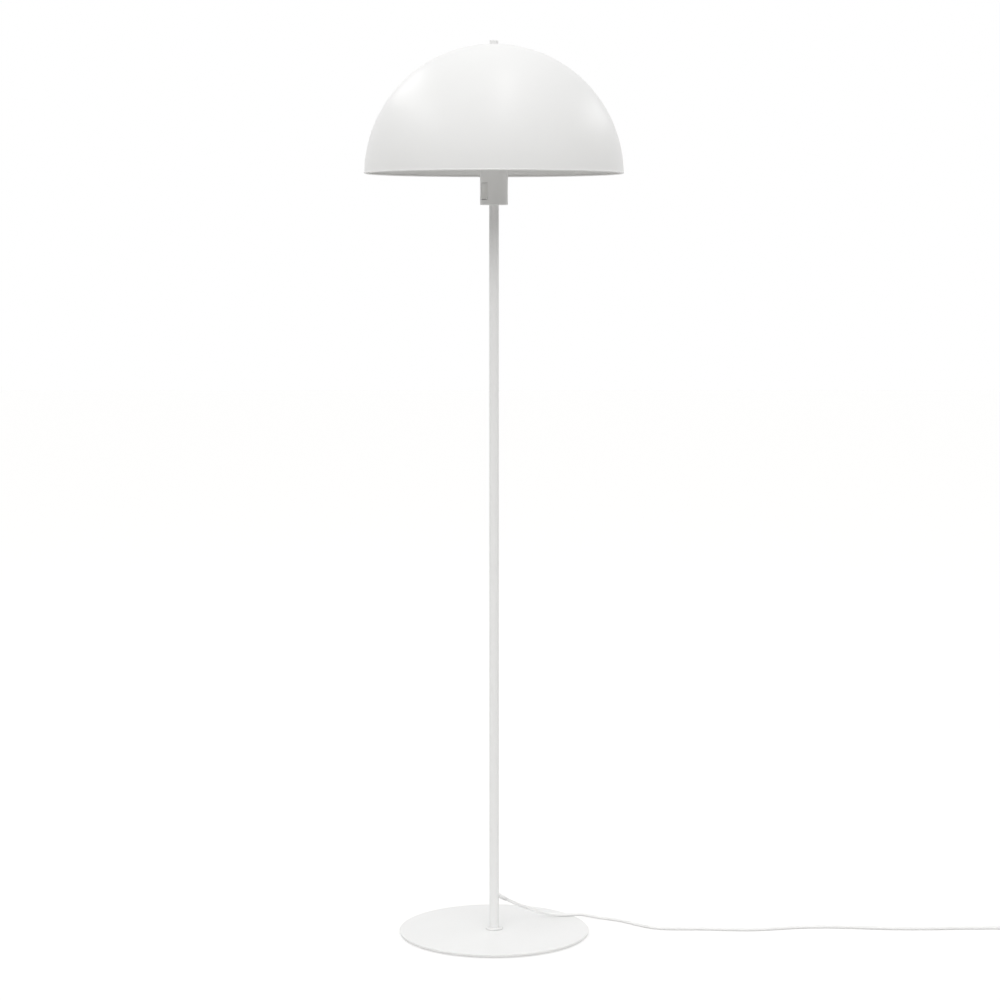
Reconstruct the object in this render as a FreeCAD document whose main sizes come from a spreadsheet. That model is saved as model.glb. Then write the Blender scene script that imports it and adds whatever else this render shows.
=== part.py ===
import FreeCAD, Part
import math
import os

import Sketcher

# A mushroom floor lamp: a steel disc, a slim pole, a lampholder in a cup with a rocker switch,
# and a spun dome shade that hangs on a harp over the bulb.
# The pole stands on the Z axis, the pads rest on z = 0, and +X is to the right. Lengths are millimetres.

sizes = {
    # base
    "base_diameter": 300,
    "base_thickness": 5,
    "base_edge_radius": 1.2,
    "pad_diameter": 22,
    "pad_height": 1.5,
    "pad_circle": 250,
    "pad_count": 6,
    # screw that holds the pole to the base
    "foot_screw_diameter": 8,
    "foot_screw_head": 16,
    "foot_screw_length": 22,
    "foot_screw_rim": 0.4,
    "foot_screw_recess": 0.2,
    "foot_screw_key": 5,
    "foot_screw_socket": 2.5,
    "foot_screw_point": 0.8,
    "foot_screw_gap": 0.2,
    "countersink_gap": 0.1,
    "countersink_drop": 0.03,
    # pole
    "pole_diameter": 15,
    "pole_wall": 1.2,
    "pole_length": 1142.5,
    "insert_length": 20,
    "collar_diameter": 27,
    "collar_height": 3,
    "collar_edge_radius": 0.8,
    # cord and its way out of the pole
    "cord_diameter": 5,
    "cord_exit_height": 60,
    "cord_exit_slope": 29,
    "relief_length": 22,
    "relief_root_wall": 1.3,
    "relief_tip_wall": 0.45,
    "bushing_wall": 1.8,
    "bushing_lip": 0.7,
    # direction that the switch faces, turned about Z from -Y
    "front_angle": -45,
    # cup round the lampholder
    "cup_wall": 1,
    "cup_gap": 0.7,
    "cup_height": 61,
    "cup_edge_radius": 1.2,
    "window_width": 13.5,
    "window_height": 26,
    "window_centre": 21,
    "window_corner_radius": 1,
    # threaded nipple, washer and nut
    "nipple_diameter": 10,
    "nipple_bore": 7.5,
    "nipple_below": 14,
    "nipple_above": 14,
    "washer_diameter": 18,
    "washer_thickness": 1,
    "nut_flats": 14,
    "nut_height": 3,
    # lampholder
    "holder_diameter": 39.6,
    "holder_floor": 1.7,
    "holder_wall": 3,
    "holder_boss_diameter": 15.8,
    "holder_boss_height": 8,
    "holder_base_height": 34,
    "holder_neck_height": 4,
    "holder_neck_wall": 1.4,
    "holder_chamfer": 1.5,
    "holder_deck": 1,
    "core_seat_wall": 0.45,
    "core_thickness": 6,
    "core_seat": 1,
    "holder_shell_height": 38,
    "holder_rim_diameter": 30.4,
    "holder_rim_lip": 0.8,
    "holder_shell_chamfer": 1,
    "screw_shell_diameter": 27.3,
    "screw_shell_wall": 0.4,
    "screw_shell_height": 20.4,
    "screw_shell_mouth": 21,
    "contact_thickness": 0.6,
    "contact_width": 6,
    "contact_offset": 8.4,
    "contact_leg": 15,
    "centre_contact_rise": 3.5,
    "centre_contact_from": 1,
    "centre_contact_to": 4,
    "bulb_tip_gap": 0.1,
    "terminal_length": 6,
    "terminal_width": 7,
    "terminal_height": 8,
    "terminal_screw_diameter": 3,
    "terminal_screw_head": 5,
    "terminal_screw_head_height": 1.6,
    "terminal_screw_level": 2.5,
    "terminal_wire_gap": 0.2,
    "terminal_below_leg": 1,
    "core_wire_diameter": 2,
    # rocker switch
    "rocker_end_gap": 1,
    "rocker_angle": 7,
    "rocker_depth": 3,
    "rocker_skirt": 0.5,
    "rocker_wall": 1.2,
    "rocker_inset": 4.5,
    "trunnion_diameter": 2.4,
    "trunnion_length": 1.2,
    "switch_wall": 1.5,
    "switch_depth": 10.2,
    "switch_front_reach": 1.4,
    "switch_floor": 1.2,
    "switch_end_trim": 0.4,
    "rocker_swing_gap": 0.4,
    "stop_half_width": 3,
    "stop_half_height": 0.6,
    "plunger_diameter": 3,
    "plunger_reach": 5.4,
    "plunger_length": 4,
    "plunger_sleeve_wall": 1.1,
    "plunger_sleeve_gap": 0.2,
    "plunger_sleeve_depth": 3,
    "spring_wire": 0.35,
    "spring_turns": 5,
    "bridge_length": 14.4,
    "bridge_width": 5,
    "bridge_thickness": 0.6,
    "bridge_inset": 6.7,
    "bridge_gap": 0.1,
    "bridge_tilt": 4.6,
    "bridge_contact_height": 6.2,
    "strip_thickness": 0.8,
    "contact_rise": 0.85,
    "contact_tail": 3.8,
    # shade ring and harp
    "ring_flange_width": 7.2,
    "ring_flange_thickness": 2.5,
    "ring_wall": 3.2,
    "ring_height": 10,
    "ring_notches": 20,
    "ring_notch_diameter": 3,
    "ring_notch_inset": 0.6,
    "ring_chamfer": 0.8,
    "harp_foot_thickness": 1.5,
    "harp_foot_margin": 0.5,
    "harp_foot_gap": 0.2,
    "harp_lug_overlap": 3,
    "harp_arm_reach": 4,
    "harp_lug_width": 9,
    "harp_wire": 4,
    "harp_width": 102,
    "harp_height": 178,
    "harp_top_width": 22,
    "harp_plate_diameter": 30,
    "harp_plate_thickness": 2,
    "stud_diameter": 6,
    "stud_shoulder_diameter": 10,
    "stud_shoulder_height": 2,
    "stud_reach": 4.5,
    "stud_chamfer": 0.6,
    "shade_washer_diameter": 26,
    "shade_washer_thickness": 1.5,
    # shade and finial
    "shade_diameter": 400,
    "shade_wall": 1,
    "shade_flat": 26,
    "shade_rim_lift": 2.4,
    "shade_bead": 2.6,
    "shade_bead_proud": 0.2,
    "shade_hole_gap": 0.5,
    "finial_diameter": 13.4,
    "finial_height": 6,
    "finial_edge": 0.4,
    "finial_bore_depth": 5,
    "finial_washer_diameter": 11,
    "finial_washer_thickness": 0.6,
    # bulb, from the tip of its cap up
    "bulb_length": 108,
    "bulb_diameter": 60,
    "bulb_globe_wall": 1.5,
    "bulb_globe_joint": 62,
    "bulb_cap_diameter": 26.3,
    "bulb_cap_wall": 0.45,
    "bulb_cap_start": 5,
    "bulb_cap_end": 27,
    "bulb_tip_diameter": 9.5,
    "bulb_tip_height": 1.5,
    "bulb_tip_chamfer": 1,
    "bulb_insulator_rim": 0.4,
    "bulb_insulator_edge": 1,
    "bulb_cap_flare": 0.6,
    "bulb_cap_flare_height": 4,
    "bulb_housing_lip": 0.6,
    "bulb_housing_lip_height": 2,
    "bulb_housing_curve": 90,
    # plug
    "plug_relief_length": 24,
    "plug_body_length": 35,
    "plug_width": 30,
    "plug_face_width": 26,
    "plug_neck_width": 12,
    "plug_neck_height": 10,
    "plug_height": 13.7,
    "plug_corner_radius": 3,
    "plug_relief_end": 9.6,
    "plug_relief_overlap": 3,
    "plug_waist_share": 0.3,
    "plug_waist_width_share": 0.72,
    "plug_shoulder_share": 0.65,
    "pin_spacing": 18.6,
    "pin_diameter": 4,
    "pin_core_diameter": 2.8,
    "pin_length": 19,
    "sleeve_length": 10,
    "sleeve_diameter": 3.6,
    # gaps
    "slip_gap": 0.05,
    "loose_gap": 0.3,
}

doc = FreeCAD.newDocument("mushroom_floor_lamp")
sheet = doc.addObject("Spreadsheet::Sheet", "sizes")
for row, (name, value) in enumerate(sizes.items(), start=1):
    sheet.set(f"A{row}", name.replace("_", " "))
    sheet.set(f"B{row}", str(value))
    sheet.setAlias(f"B{row}", name)
doc.recompute()


class Size:
    """A length or angle of the lamp: its number now, and the sheet expression that it follows."""

    def __init__(self, number, text):
        self.number = number
        self.text = text

    def __add__(self, other):
        other = as_size(other)
        return Size(self.number + other.number, f"({self.text} + {other.text})")

    def __sub__(self, other):
        other = as_size(other)
        return Size(self.number - other.number, f"({self.text} - {other.text})")

    def __mul__(self, other):
        other = as_size(other)
        return Size(self.number * other.number, f"({self.text} * {other.text})")

    def __truediv__(self, other):
        other = as_size(other)
        return Size(self.number / other.number, f"({self.text} / {other.text})")

    def __neg__(self):
        return Size(-self.number, f"(0 - {self.text})")

    def __radd__(self, other):
        return as_size(other) + self

    def __rsub__(self, other):
        return as_size(other) - self

    def __rmul__(self, other):
        return as_size(other) * self


def as_size(value):
    """A plain number as a Size; a Size as it is."""
    if isinstance(value, Size):
        return value
    return Size(float(value), f"({float(value)})")


def root(value):
    """The square root of a Size."""
    return Size(math.sqrt(value.number), f"sqrt({value.text})")


def sine(value):
    """The sine of an angle in degrees."""
    return Size(math.sin(math.radians(value.number)), f"sin({value.text})")


def cosine(value):
    """The cosine of an angle in degrees."""
    return Size(math.cos(math.radians(value.number)), f"cos({value.text})")


def tangent(value):
    """The tangent of an angle in degrees."""
    return Size(math.tan(math.radians(value.number)), f"tan({value.text})")


class Sheet:
    """The driving sizes as Size values, read by name."""

    def __getattr__(self, name):
        return Size(float(sizes[name]), f"sizes.{name}")


of = Sheet()
pieces = []


def bind(item, path, value):
    """Tie a property to the sheet."""
    item.setExpression(path, as_size(value).text)


def body_named(label, height=0, facing=False, tilt=0, depth=0):
    """An empty body on the lamp's axis at a height.

    facing turns it to the switch's side; depth then moves it that far towards the switch, and tilt leans
    it about its own X axis.
    """
    body = doc.addObject("PartDesign::Body", label)
    body.Label = label
    body.AllowCompound = True
    turn = FreeCAD.Rotation(FreeCAD.Vector(0, 0, 1), sizes["front_angle"] if facing else 0)
    lean = FreeCAD.Rotation(FreeCAD.Vector(1, 0, 0), as_size(tilt).number)
    body.Placement = FreeCAD.Placement(FreeCAD.Vector(0, 0, 0), turn.multiply(lean))
    bind(body, "Placement.Base.x", sine(of.front_angle) * depth)
    bind(body, "Placement.Base.y", 0 - cosine(of.front_angle) * depth)
    bind(body, "Placement.Base.z", height)
    pieces.append(body)
    return body


def sketch_on(body, plane, name, offset=0):
    """An empty sketch on one of the body's own planes, moved along the plane's normal."""
    sketch = body.newObject("Sketcher::SketchObject", name)
    support = next(item for item in body.Origin.OriginFeatures if item.Role == plane)
    sketch.AttachmentSupport = [(support, "")]
    sketch.MapMode = "FlatFace"
    bind(sketch, "AttachmentOffset.Base.z", offset)
    return sketch


def pin_point(sketch, edge, end, x, y):
    """Hold one end or centre of an edge at a place in the sketch."""
    for kind, axis_line, value in (("DistanceX", -2, as_size(x)), ("DistanceY", -1, as_size(y))):
        if abs(value.number) < 1e-9:
            sketch.addConstraint(Sketcher.Constraint("PointOnObject", edge, end, axis_line))
        elif value.number > 0:
            index = sketch.addConstraint(Sketcher.Constraint(kind, -1, 1, edge, end, value.number))
            sketch.setExpression(f"Constraints[{index}]", value.text)
        else:
            index = sketch.addConstraint(Sketcher.Constraint(kind, edge, end, -1, 1, -value.number))
            sketch.setExpression(f"Constraints[{index}]", (-value).text)


def arc_between(start, end, radius, direction):
    """The arc of under a half circle from start to end; direction 1 turns left and -1 turns right."""
    chord = end - start
    middle = (start + end) / 2
    left = FreeCAD.Vector(-chord.y, chord.x, 0).normalize()
    reach = math.sqrt(max(radius ** 2 - (chord.Length / 2) ** 2, 0))
    centre = middle + left * reach * direction
    first, last = (start, end) if direction > 0 else (end, start)
    angles = [math.atan2(point.y - centre.y, point.x - centre.x) for point in (first, last)]
    circle = Part.Circle(centre, FreeCAD.Vector(0, 0, 1), radius)
    return Part.ArcOfCircle(circle, angles[0], angles[1])


def outline(sketch, *steps):
    """A closed outline: corners (x, y), with ("left", radius) or ("right", radius) between two for an arc."""
    corners = [step for step in steps if not isinstance(step[0], str)]
    bends = {}
    for step in steps:
        if isinstance(step[0], str):
            bends[count - 1] = step
        else:
            count = corners.index(step) + 1
    places = [FreeCAD.Vector(as_size(x).number, as_size(y).number, 0) for x, y in corners]
    ends = []
    for index, place in enumerate(places):
        following = places[(index + 1) % len(places)]
        if index in bends:
            side, radius = bends[index]
            direction = 1 if side == "left" else -1
            radius = as_size(radius)
            edge = sketch.addGeometry(arc_between(place, following, radius.number, direction), False)
            constraint = sketch.addConstraint(Sketcher.Constraint("Radius", edge, radius.number))
            sketch.setExpression(f"Constraints[{constraint}]", radius.text)
            ends.append((edge, 1, 2) if direction > 0 else (edge, 2, 1))
        else:
            edge = sketch.addGeometry(Part.LineSegment(place, following), False)
            ends.append((edge, 1, 2))
    for index, (edge, start, end) in enumerate(ends):
        next_edge, next_start, _ = ends[(index + 1) % len(ends)]
        sketch.addConstraint(Sketcher.Constraint("Coincident", edge, end, next_edge, next_start))
        pin_point(sketch, edge, start, *corners[index])
    return sketch


def circle(sketch, x, y, diameter):
    """A circle held at its centre."""
    diameter = as_size(diameter)
    centre = FreeCAD.Vector(as_size(x).number, as_size(y).number, 0)
    shape = Part.Circle(centre, FreeCAD.Vector(0, 0, 1), diameter.number / 2)
    edge = sketch.addGeometry(shape, False)
    pin_point(sketch, edge, 3, x, y)
    index = sketch.addConstraint(Sketcher.Constraint("Diameter", edge, diameter.number))
    sketch.setExpression(f"Constraints[{index}]", diameter.text)
    return sketch


def rectangle(sketch, left, bottom, right, top):
    """A rectangle from its four sides' places."""
    return outline(sketch, (left, bottom), (right, bottom), (right, top), (left, top))


def rounded_rectangle(sketch, width, height, radius, x=0, y=0):
    """A rectangle centred on a point, with round corners."""
    left, right = x - width / 2, x + width / 2
    bottom, top = y - height / 2, y + height / 2
    return outline(
        sketch,
        (left + radius, bottom), (right - radius, bottom), ("left", radius),
        (right, bottom + radius), (right, top - radius), ("left", radius),
        (right - radius, top), (left + radius, top), ("left", radius),
        (left, top - radius), (left, bottom + radius), ("left", radius),
    )


def hexagon(sketch, flats):
    """A hexagon across its flats, with two corners on the X axis."""
    corner = flats / math.sqrt(3)
    half = corner / 2
    return outline(
        sketch,
        (corner, 0), (half, flats / 2), (-half, flats / 2),
        (-corner, 0), (-half, -(flats / 2)), (half, -(flats / 2)),
    )


def pad(body, sketch, length, symmetric=False, against=False):
    """Add material along the sketch's normal, or against it."""
    feature = body.newObject("PartDesign::Pad", sketch.Name + "_pad")
    feature.Profile = sketch
    bind(feature, "Length", length)
    feature.Midplane = symmetric
    feature.Reversed = against
    body.Tip = feature
    return feature


def pocket(body, sketch, length, symmetric=False, along=False):
    """Cut material against the sketch's normal, or along it, and see that it did."""
    doc.recompute()
    before = body.Shape.Volume
    feature = body.newObject("PartDesign::Pocket", sketch.Name + "_pocket")
    feature.Profile = sketch
    bind(feature, "Length", length)
    feature.Midplane = symmetric
    feature.Reversed = along
    body.Tip = feature
    doc.recompute()
    if body.Shape.Volume >= before:
        raise RuntimeError(f"{feature.Name} in {body.Label} cuts nothing")
    return feature


def revolve(body, sketch, axis="V_Axis"):
    """Turn the sketch once round one of its own axes."""
    feature = body.newObject("PartDesign::Revolution", sketch.Name + "_turn")
    feature.Profile = sketch
    feature.ReferenceAxis = (sketch, [axis])
    feature.Angle = 360
    body.Tip = feature
    return feature


def around(body, features, count):
    """Repeat features evenly about the body's own Z axis."""
    pattern = body.newObject("PartDesign::PolarPattern", features[0].Name + "_around")
    pattern.Originals = features
    pattern.Axis = (next(item for item in body.Origin.OriginFeatures if item.Role == "Z_Axis"), [""])
    pattern.Angle = 360
    pattern.Occurrences = count
    body.Tip = pattern
    return pattern


def ring(label, height, inner_radius, outer_radius, thickness):
    """A plain ring on the lamp's axis."""
    body = body_named(label, height)
    sketch = sketch_on(body, "XZ_Plane", label + "_section")
    rectangle(sketch, inner_radius, 0, outer_radius, thickness)
    revolve(body, sketch)
    return body


# ---- heights of the stack ----

base_top = of.pad_height + of.base_thickness
cup_bottom = base_top + of.pole_length
cup_top = cup_bottom + of.cup_height
cup_floor = cup_bottom + of.cup_wall
washer_top = cup_floor + of.washer_thickness
holder_bottom = washer_top + of.nut_height
switch_height = cup_bottom + of.window_centre
core_bottom = holder_bottom + of.holder_base_height - of.core_seat
core_top = core_bottom + of.core_thickness
harp_bottom = cup_top + of.harp_foot_thickness
plate_bottom = harp_bottom + of.harp_height
plate_top = plate_bottom + of.harp_plate_thickness
shade_inside = plate_top + of.shade_washer_thickness
shade_top = shade_inside + of.shade_wall
bulb_bottom = core_top + of.centre_contact_rise + of.bulb_tip_gap

pole_radius = of.pole_diameter / 2
pole_bore_radius = pole_radius - of.pole_wall
nipple_radius = of.nipple_diameter / 2
holder_radius = of.holder_diameter / 2
cup_radius = holder_radius + of.cup_gap + of.cup_wall
ring_flange_radius = holder_radius + of.ring_flange_width
harp_foot_reach = ring_flange_radius + of.harp_arm_reach
bushing_diameter = of.cord_diameter + of.bushing_wall * 2
relief_root_diameter = of.cord_diameter + of.relief_root_wall * 2
relief_tip_diameter = of.cord_diameter + of.relief_tip_wall * 2
rocker_pivot_depth = cup_radius - of.rocker_inset
bridge_pivot_depth = rocker_pivot_depth - of.bridge_inset
switch_front = rocker_pivot_depth + of.switch_front_reach
switch_back = switch_front - of.switch_depth


# ---- base ----

def make_base_pads():
    body = body_named("base_pads")
    sketch = circle(sketch_on(body, "XY_Plane", "pad_outline"), of.pad_circle / 2, 0, of.pad_diameter)
    around(body, [pad(body, sketch, of.pad_height)], sizes["pad_count"])


def make_base_plate():
    """A turned disc with a soft upper edge and a countersunk hole from below."""
    body = body_named("base_plate", of.pad_height)
    radius = of.base_diameter / 2
    hole = of.foot_screw_diameter / 2 + of.foot_screw_gap
    mouth = of.foot_screw_head / 2 + of.countersink_gap
    cone_start = of.foot_screw_recess + of.foot_screw_rim - of.countersink_drop
    lower_edge = of.base_edge_radius / 2
    outline(
        sketch_on(body, "XZ_Plane", "plate_section"),
        (mouth, 0), (radius - lower_edge, 0), ("left", lower_edge),
        (radius, lower_edge), (radius, of.base_thickness - of.base_edge_radius), ("left", of.base_edge_radius),
        (radius - of.base_edge_radius, of.base_thickness), (hole, of.base_thickness),
        (hole, cone_start + mouth - hole), (mouth, cone_start),
    )
    revolve(body, body.Group[-1])


def make_foot_screw():
    """A countersunk screw with a hexagon socket, driven up into the pole."""
    body = body_named("foot_screw", of.pad_height + of.foot_screw_recess)
    head = of.foot_screw_head / 2
    shank = of.foot_screw_diameter / 2
    point = of.foot_screw_point
    end = of.foot_screw_length
    section = outline(
        sketch_on(body, "XZ_Plane", "screw_section"),
        (0, 0), (head, 0), (head, of.foot_screw_rim), (shank, of.foot_screw_rim + head - shank),
        (shank, end - point), (shank - point, end), (0, end),
    )
    revolve(body, section)
    socket = hexagon(sketch_on(body, "XY_Plane", "screw_socket"), of.foot_screw_key)
    pocket(body, socket, of.foot_screw_socket, along=True)


def make_pole_insert(label, height, bore_radius):
    """A plug in one end of the pole, bored for a thread."""
    ring(label, height, bore_radius, pole_bore_radius - of.slip_gap, of.insert_length)


def make_pole():
    """The tube, with the cord's hole in its rear wall."""
    body = body_named("pole", base_top, facing=True)
    section = sketch_on(body, "XZ_Plane", "pole_section")
    revolve(body, rectangle(section, pole_bore_radius, 0, pole_radius, of.pole_length))
    hole = sketch_on(body, "XZ_Plane", "cord_hole")
    circle(hole, 0, of.cord_exit_height - base_top, bushing_diameter + 2 * of.slip_gap)
    pocket(body, hole, of.pole_diameter)


def make_pole_collar():
    body = body_named("pole_collar", base_top)
    radius = of.collar_diameter / 2
    bore = pole_radius + of.slip_gap
    edge = of.collar_edge_radius
    section = outline(
        sketch_on(body, "XZ_Plane", "collar_section"),
        (bore, 0), (radius, 0), (radius, of.collar_height - edge), ("left", edge),
        (radius - edge, of.collar_height), (bore, of.collar_height),
    )
    revolve(body, section)


# ---- cord ----

def direction_at(angle, slope=0):
    """A unit vector, angle degrees round from +X and slope degrees up."""
    flat = math.cos(math.radians(slope))
    turn = math.radians(angle)
    return FreeCAD.Vector(flat * math.cos(turn), flat * math.sin(turn), math.sin(math.radians(slope)))


rear_angle = 90 + sizes["front_angle"]
exit_height = sizes["cord_exit_height"]
exit_direction = direction_at(rear_angle, -sizes["cord_exit_slope"])
exit_point = direction_at(rear_angle) * (sizes["pole_diameter"] / 2) + FreeCAD.Vector(0, 0, exit_height)
cord_radius = sizes["cord_diameter"] / 2
floor_level = cord_radius


def make_cord_bushing():
    """A soft neck in the pole's hole and a tapered strain relief that slopes down with the cord."""
    radius = sizes["pole_diameter"] / 2
    inside = direction_at(rear_angle) * (radius - sizes["pole_wall"] - sizes["bushing_lip"])
    inside.z = exit_height
    neck = doc.addObject("Part::Cylinder", "bushing_neck")
    bind(neck, "Radius", bushing_diameter / 2)
    bind(neck, "Height", of.pole_wall + of.bushing_lip + 1)
    upright = FreeCAD.Vector(0, 0, 1)
    neck.Placement = FreeCAD.Placement(inside, FreeCAD.Rotation(upright, direction_at(rear_angle)))
    along = FreeCAD.Rotation(upright, exit_direction)
    relief = doc.addObject("Part::Cone", "bushing_relief")
    start = exit_point - exit_direction * radius
    bind(relief, "Radius1", relief_root_diameter / 2)
    bind(relief, "Radius2", relief_tip_diameter / 2)
    bind(relief, "Height", of.relief_length + pole_radius)
    relief.Placement = FreeCAD.Placement(start, along)
    post = doc.addObject("Part::Cylinder", "bushing_seat")
    bind(post, "Radius", pole_radius + of.slip_gap)
    bind(post, "Height", of.cord_exit_height * 2)
    outside = doc.addObject("Part::Cut", "bushing_outside")
    outside.Base, outside.Tool = relief, post
    whole = doc.addObject("Part::Fuse", "bushing_whole")
    whole.Base, whole.Tool = outside, neck
    bore = doc.addObject("Part::Cylinder", "bushing_bore")
    bind(bore, "Radius", of.cord_diameter / 2 + of.slip_gap)
    bind(bore, "Height", (of.relief_length + of.pole_diameter) * 2)
    bore.Placement = FreeCAD.Placement(exit_point - exit_direction * sizes["pole_diameter"], along)
    bushing = doc.addObject("Part::Cut", "cord_bushing")
    bushing.Base, bushing.Tool = whole, bore
    bushing.Label = "cord_bushing"
    pieces.append(bushing)


def rounded_path(name, points):
    """Straight runs joined by tangent arcs, each as large as its two runs allow."""
    share = 0.45
    edges, radii = [], []
    start = points[0]
    for before, corner, after in zip(points, points[1:], points[2:]):
        inward = (corner - before)
        outward = (after - corner)
        trim = share * min(inward.Length, outward.Length)
        inward.normalize()
        outward.normalize()
        half_turn = inward.getAngle(outward) / 2
        radius = trim / math.tan(half_turn)
        arc_start = corner - inward * trim
        arc_end = corner + outward * trim
        middle = corner + (outward - inward).normalize() * radius * (1 / math.cos(half_turn) - 1)
        edges.append(Part.LineSegment(start, arc_start).toShape())
        edges.append(Part.Arc(arc_start, middle, arc_end).toShape())
        radii.append(radius)
        start = arc_end
    edges.append(Part.LineSegment(start, points[-1]).toShape())
    print(name, "bend radii:", " ".join(f"{radius:.0f}" for radius in radii))
    return edges


def tube(label, edges, diameter):
    """A round tube along joined edges, with its volume compared with section times length."""
    path = Part.Wire(edges)
    first = edges[0]
    start = first.valueAt(first.FirstParameter)
    heading = first.tangentAt(first.FirstParameter)
    section = Part.Wire([Part.Circle(start, heading, diameter / 2).toShape()])
    shape = path.makePipeShell([section], True, False)
    expected = math.pi * diameter ** 2 / 4 * path.Length
    print(f"{label}: {path.Length:.1f} mm long, volume {shape.Volume / expected:.4f} of section times length")
    if abs(shape.Volume / expected - 1) > 0.01:
        raise RuntimeError(label + " has the wrong volume")
    piece = doc.addObject("Part::Feature", label)
    piece.Label = label
    piece.Shape = shape
    piece.Placement = FreeCAD.Placement()
    pieces.append(piece)
    return path.Length


# The route on the base and the floor, chosen by hand; it starts in the strain relief.
cord_route = [
    exit_point,
    exit_point + exit_direction * 40,
    FreeCAD.Vector(61, 51, 25.6),
    FreeCAD.Vector(88, 65.6, 17),
    FreeCAD.Vector(115, 76, 14),
    FreeCAD.Vector(138, 82, 14),
    FreeCAD.Vector(160, 84.4, 6.4),
    FreeCAD.Vector(181, 78.4, floor_level),
    FreeCAD.Vector(201, 66, floor_level),
    FreeCAD.Vector(220, 48.5, floor_level),
    FreeCAD.Vector(239, 29, floor_level),
    FreeCAD.Vector(262, 15.5, floor_level),
    FreeCAD.Vector(292, 12.8, floor_level),
    FreeCAD.Vector(332, 13.6, floor_level),
    FreeCAD.Vector(375, 8.6, floor_level),
    FreeCAD.Vector(411, 7.2, floor_level),
    FreeCAD.Vector(446, 13.2, floor_level),
    FreeCAD.Vector(487, 22.4, floor_level),
    FreeCAD.Vector(530, 25.6, floor_level),
    FreeCAD.Vector(580, 20.8, floor_level),
    FreeCAD.Vector(632, 14.2, floor_level),
    FreeCAD.Vector(690, 13.4, floor_level),
    FreeCAD.Vector(748, 17.4, floor_level),
    FreeCAD.Vector(806, 18.6, floor_level),
]

# The coil lies past the right-hand edge of the photograph's view.
coil = {
    "centre_x": 866,
    "turn_gap": sizes["cord_diameter"] * 1.3,
    "inner_radius": sizes["cord_diameter"] * 4,
    "half_turns": 5,
    "layer_height": sizes["cord_diameter"] * 1.15,
}


def biarc(start, start_heading, end, end_heading):
    """Two tangent arcs from one point and heading to another."""
    span = end - start
    both = start_heading + end_heading
    reach_squared = 2 * (1 - start_heading.dot(end_heading))
    along = span.dot(both)
    reach = (-along + math.sqrt(along ** 2 + reach_squared * span.dot(span))) / reach_squared
    first_corner = start + start_heading * reach
    second_corner = end - end_heading * reach
    joint = (first_corner + second_corner) / 2
    arcs = []
    for tail, corner, head in ((start, first_corner, joint), (joint, second_corner, end)):
        inward = (corner - tail).normalize()
        outward = (head - corner).normalize()
        half_turn = inward.getAngle(outward) / 2
        radius = reach / math.tan(half_turn)
        middle = corner + (outward - inward).normalize() * radius * (1 / math.cos(half_turn) - 1)
        arcs.append(Part.Arc(tail, middle, head).toShape())
    return arcs


def coil_joints():
    """Where the coil's half turns meet: in on the lower layer, up a layer, and out on the upper one.

    Each half turn is a half circle a quarter of the turn gap off the centre, so the radius shrinks or
    grows by half a gap, and the headings meet. A last quarter turn leaves the coil towards +Y.
    """
    half_gap = coil["turn_gap"] / 2
    turns = coil["half_turns"]
    radius = coil["inner_radius"] + turns * half_gap
    centre_y = cord_route[-1].y + radius
    place = FreeCAD.Vector(coil["centre_x"], cord_route[-1].y, floor_level)
    heading = FreeCAD.Vector(1, 0, 0)
    side = 1
    joints = [(place, heading)]
    for step in [-half_gap] * turns + [0] + [half_gap] * (turns - 1):
        rise = coil["layer_height"] if step == 0 else 0
        place = place + FreeCAD.Vector(0, side * (2 * radius + step), rise)
        radius = radius + step
        side = -side
        heading = heading * -1
        joints.append((place, heading))
    last = FreeCAD.Vector(coil["centre_x"] + radius + half_gap / 2, centre_y, place.z)
    joints.append((last, FreeCAD.Vector(0, 1, 0)))
    print(f"coil centre y {centre_y:.1f}, outer radius {coil['inner_radius'] + turns * half_gap:.1f}")
    return joints


def least_gap_to_itself(edges, diameter):
    """The least distance between two stretches of the tube that aren't neighbours, less its diameter."""
    points, lengths = [], []
    travelled = 0
    for edge in edges:
        count = max(int(edge.Length / 2), 2)
        for point in edge.discretize(count + 1)[:-1]:
            points.append(point)
            lengths.append(travelled)
            travelled += edge.Length / count
    nearest = math.inf
    for index, point in enumerate(points):
        for other in range(index + 1, len(points)):
            if lengths[other] - lengths[index] > 6 * diameter:
                nearest = min(nearest, point.distanceToPoint(points[other]))
    return nearest - diameter


def make_cords():
    """The free cord, its coil and the tail to the plug. Returns the plug's place."""
    diameter = sizes["cord_diameter"]
    joints = coil_joints()
    lead_in = [*cord_route, joints[0][0]]
    total = tube("cord", rounded_path("cord", lead_in), diameter)
    turns = []
    for (start, heading), (end, end_heading) in zip(joints, joints[1:]):
        turns += biarc(start, heading, end, end_heading)
    print(f"coil's least gap to itself: {least_gap_to_itself(turns, diameter):.2f} mm")
    total += tube("cord_coil", turns, diameter)
    last = joints[-1][0]
    plug_place = FreeCAD.Vector(last.x + 7, last.y + 74, sizes["plug_height"] / 2)
    tail_route = [
        last,
        last + FreeCAD.Vector(0, 17, 0),
        last + FreeCAD.Vector(1.2, 31, -2.4),
        plug_place + FreeCAD.Vector(-1.4, -28, -1),
        plug_place + FreeCAD.Vector(0, -14, 0),
        plug_place,
    ]
    total += tube("cord_tail", rounded_path("cord_tail", tail_route), diameter)
    print(f"whole cord: {total:.0f} mm")
    return plug_place


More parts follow.
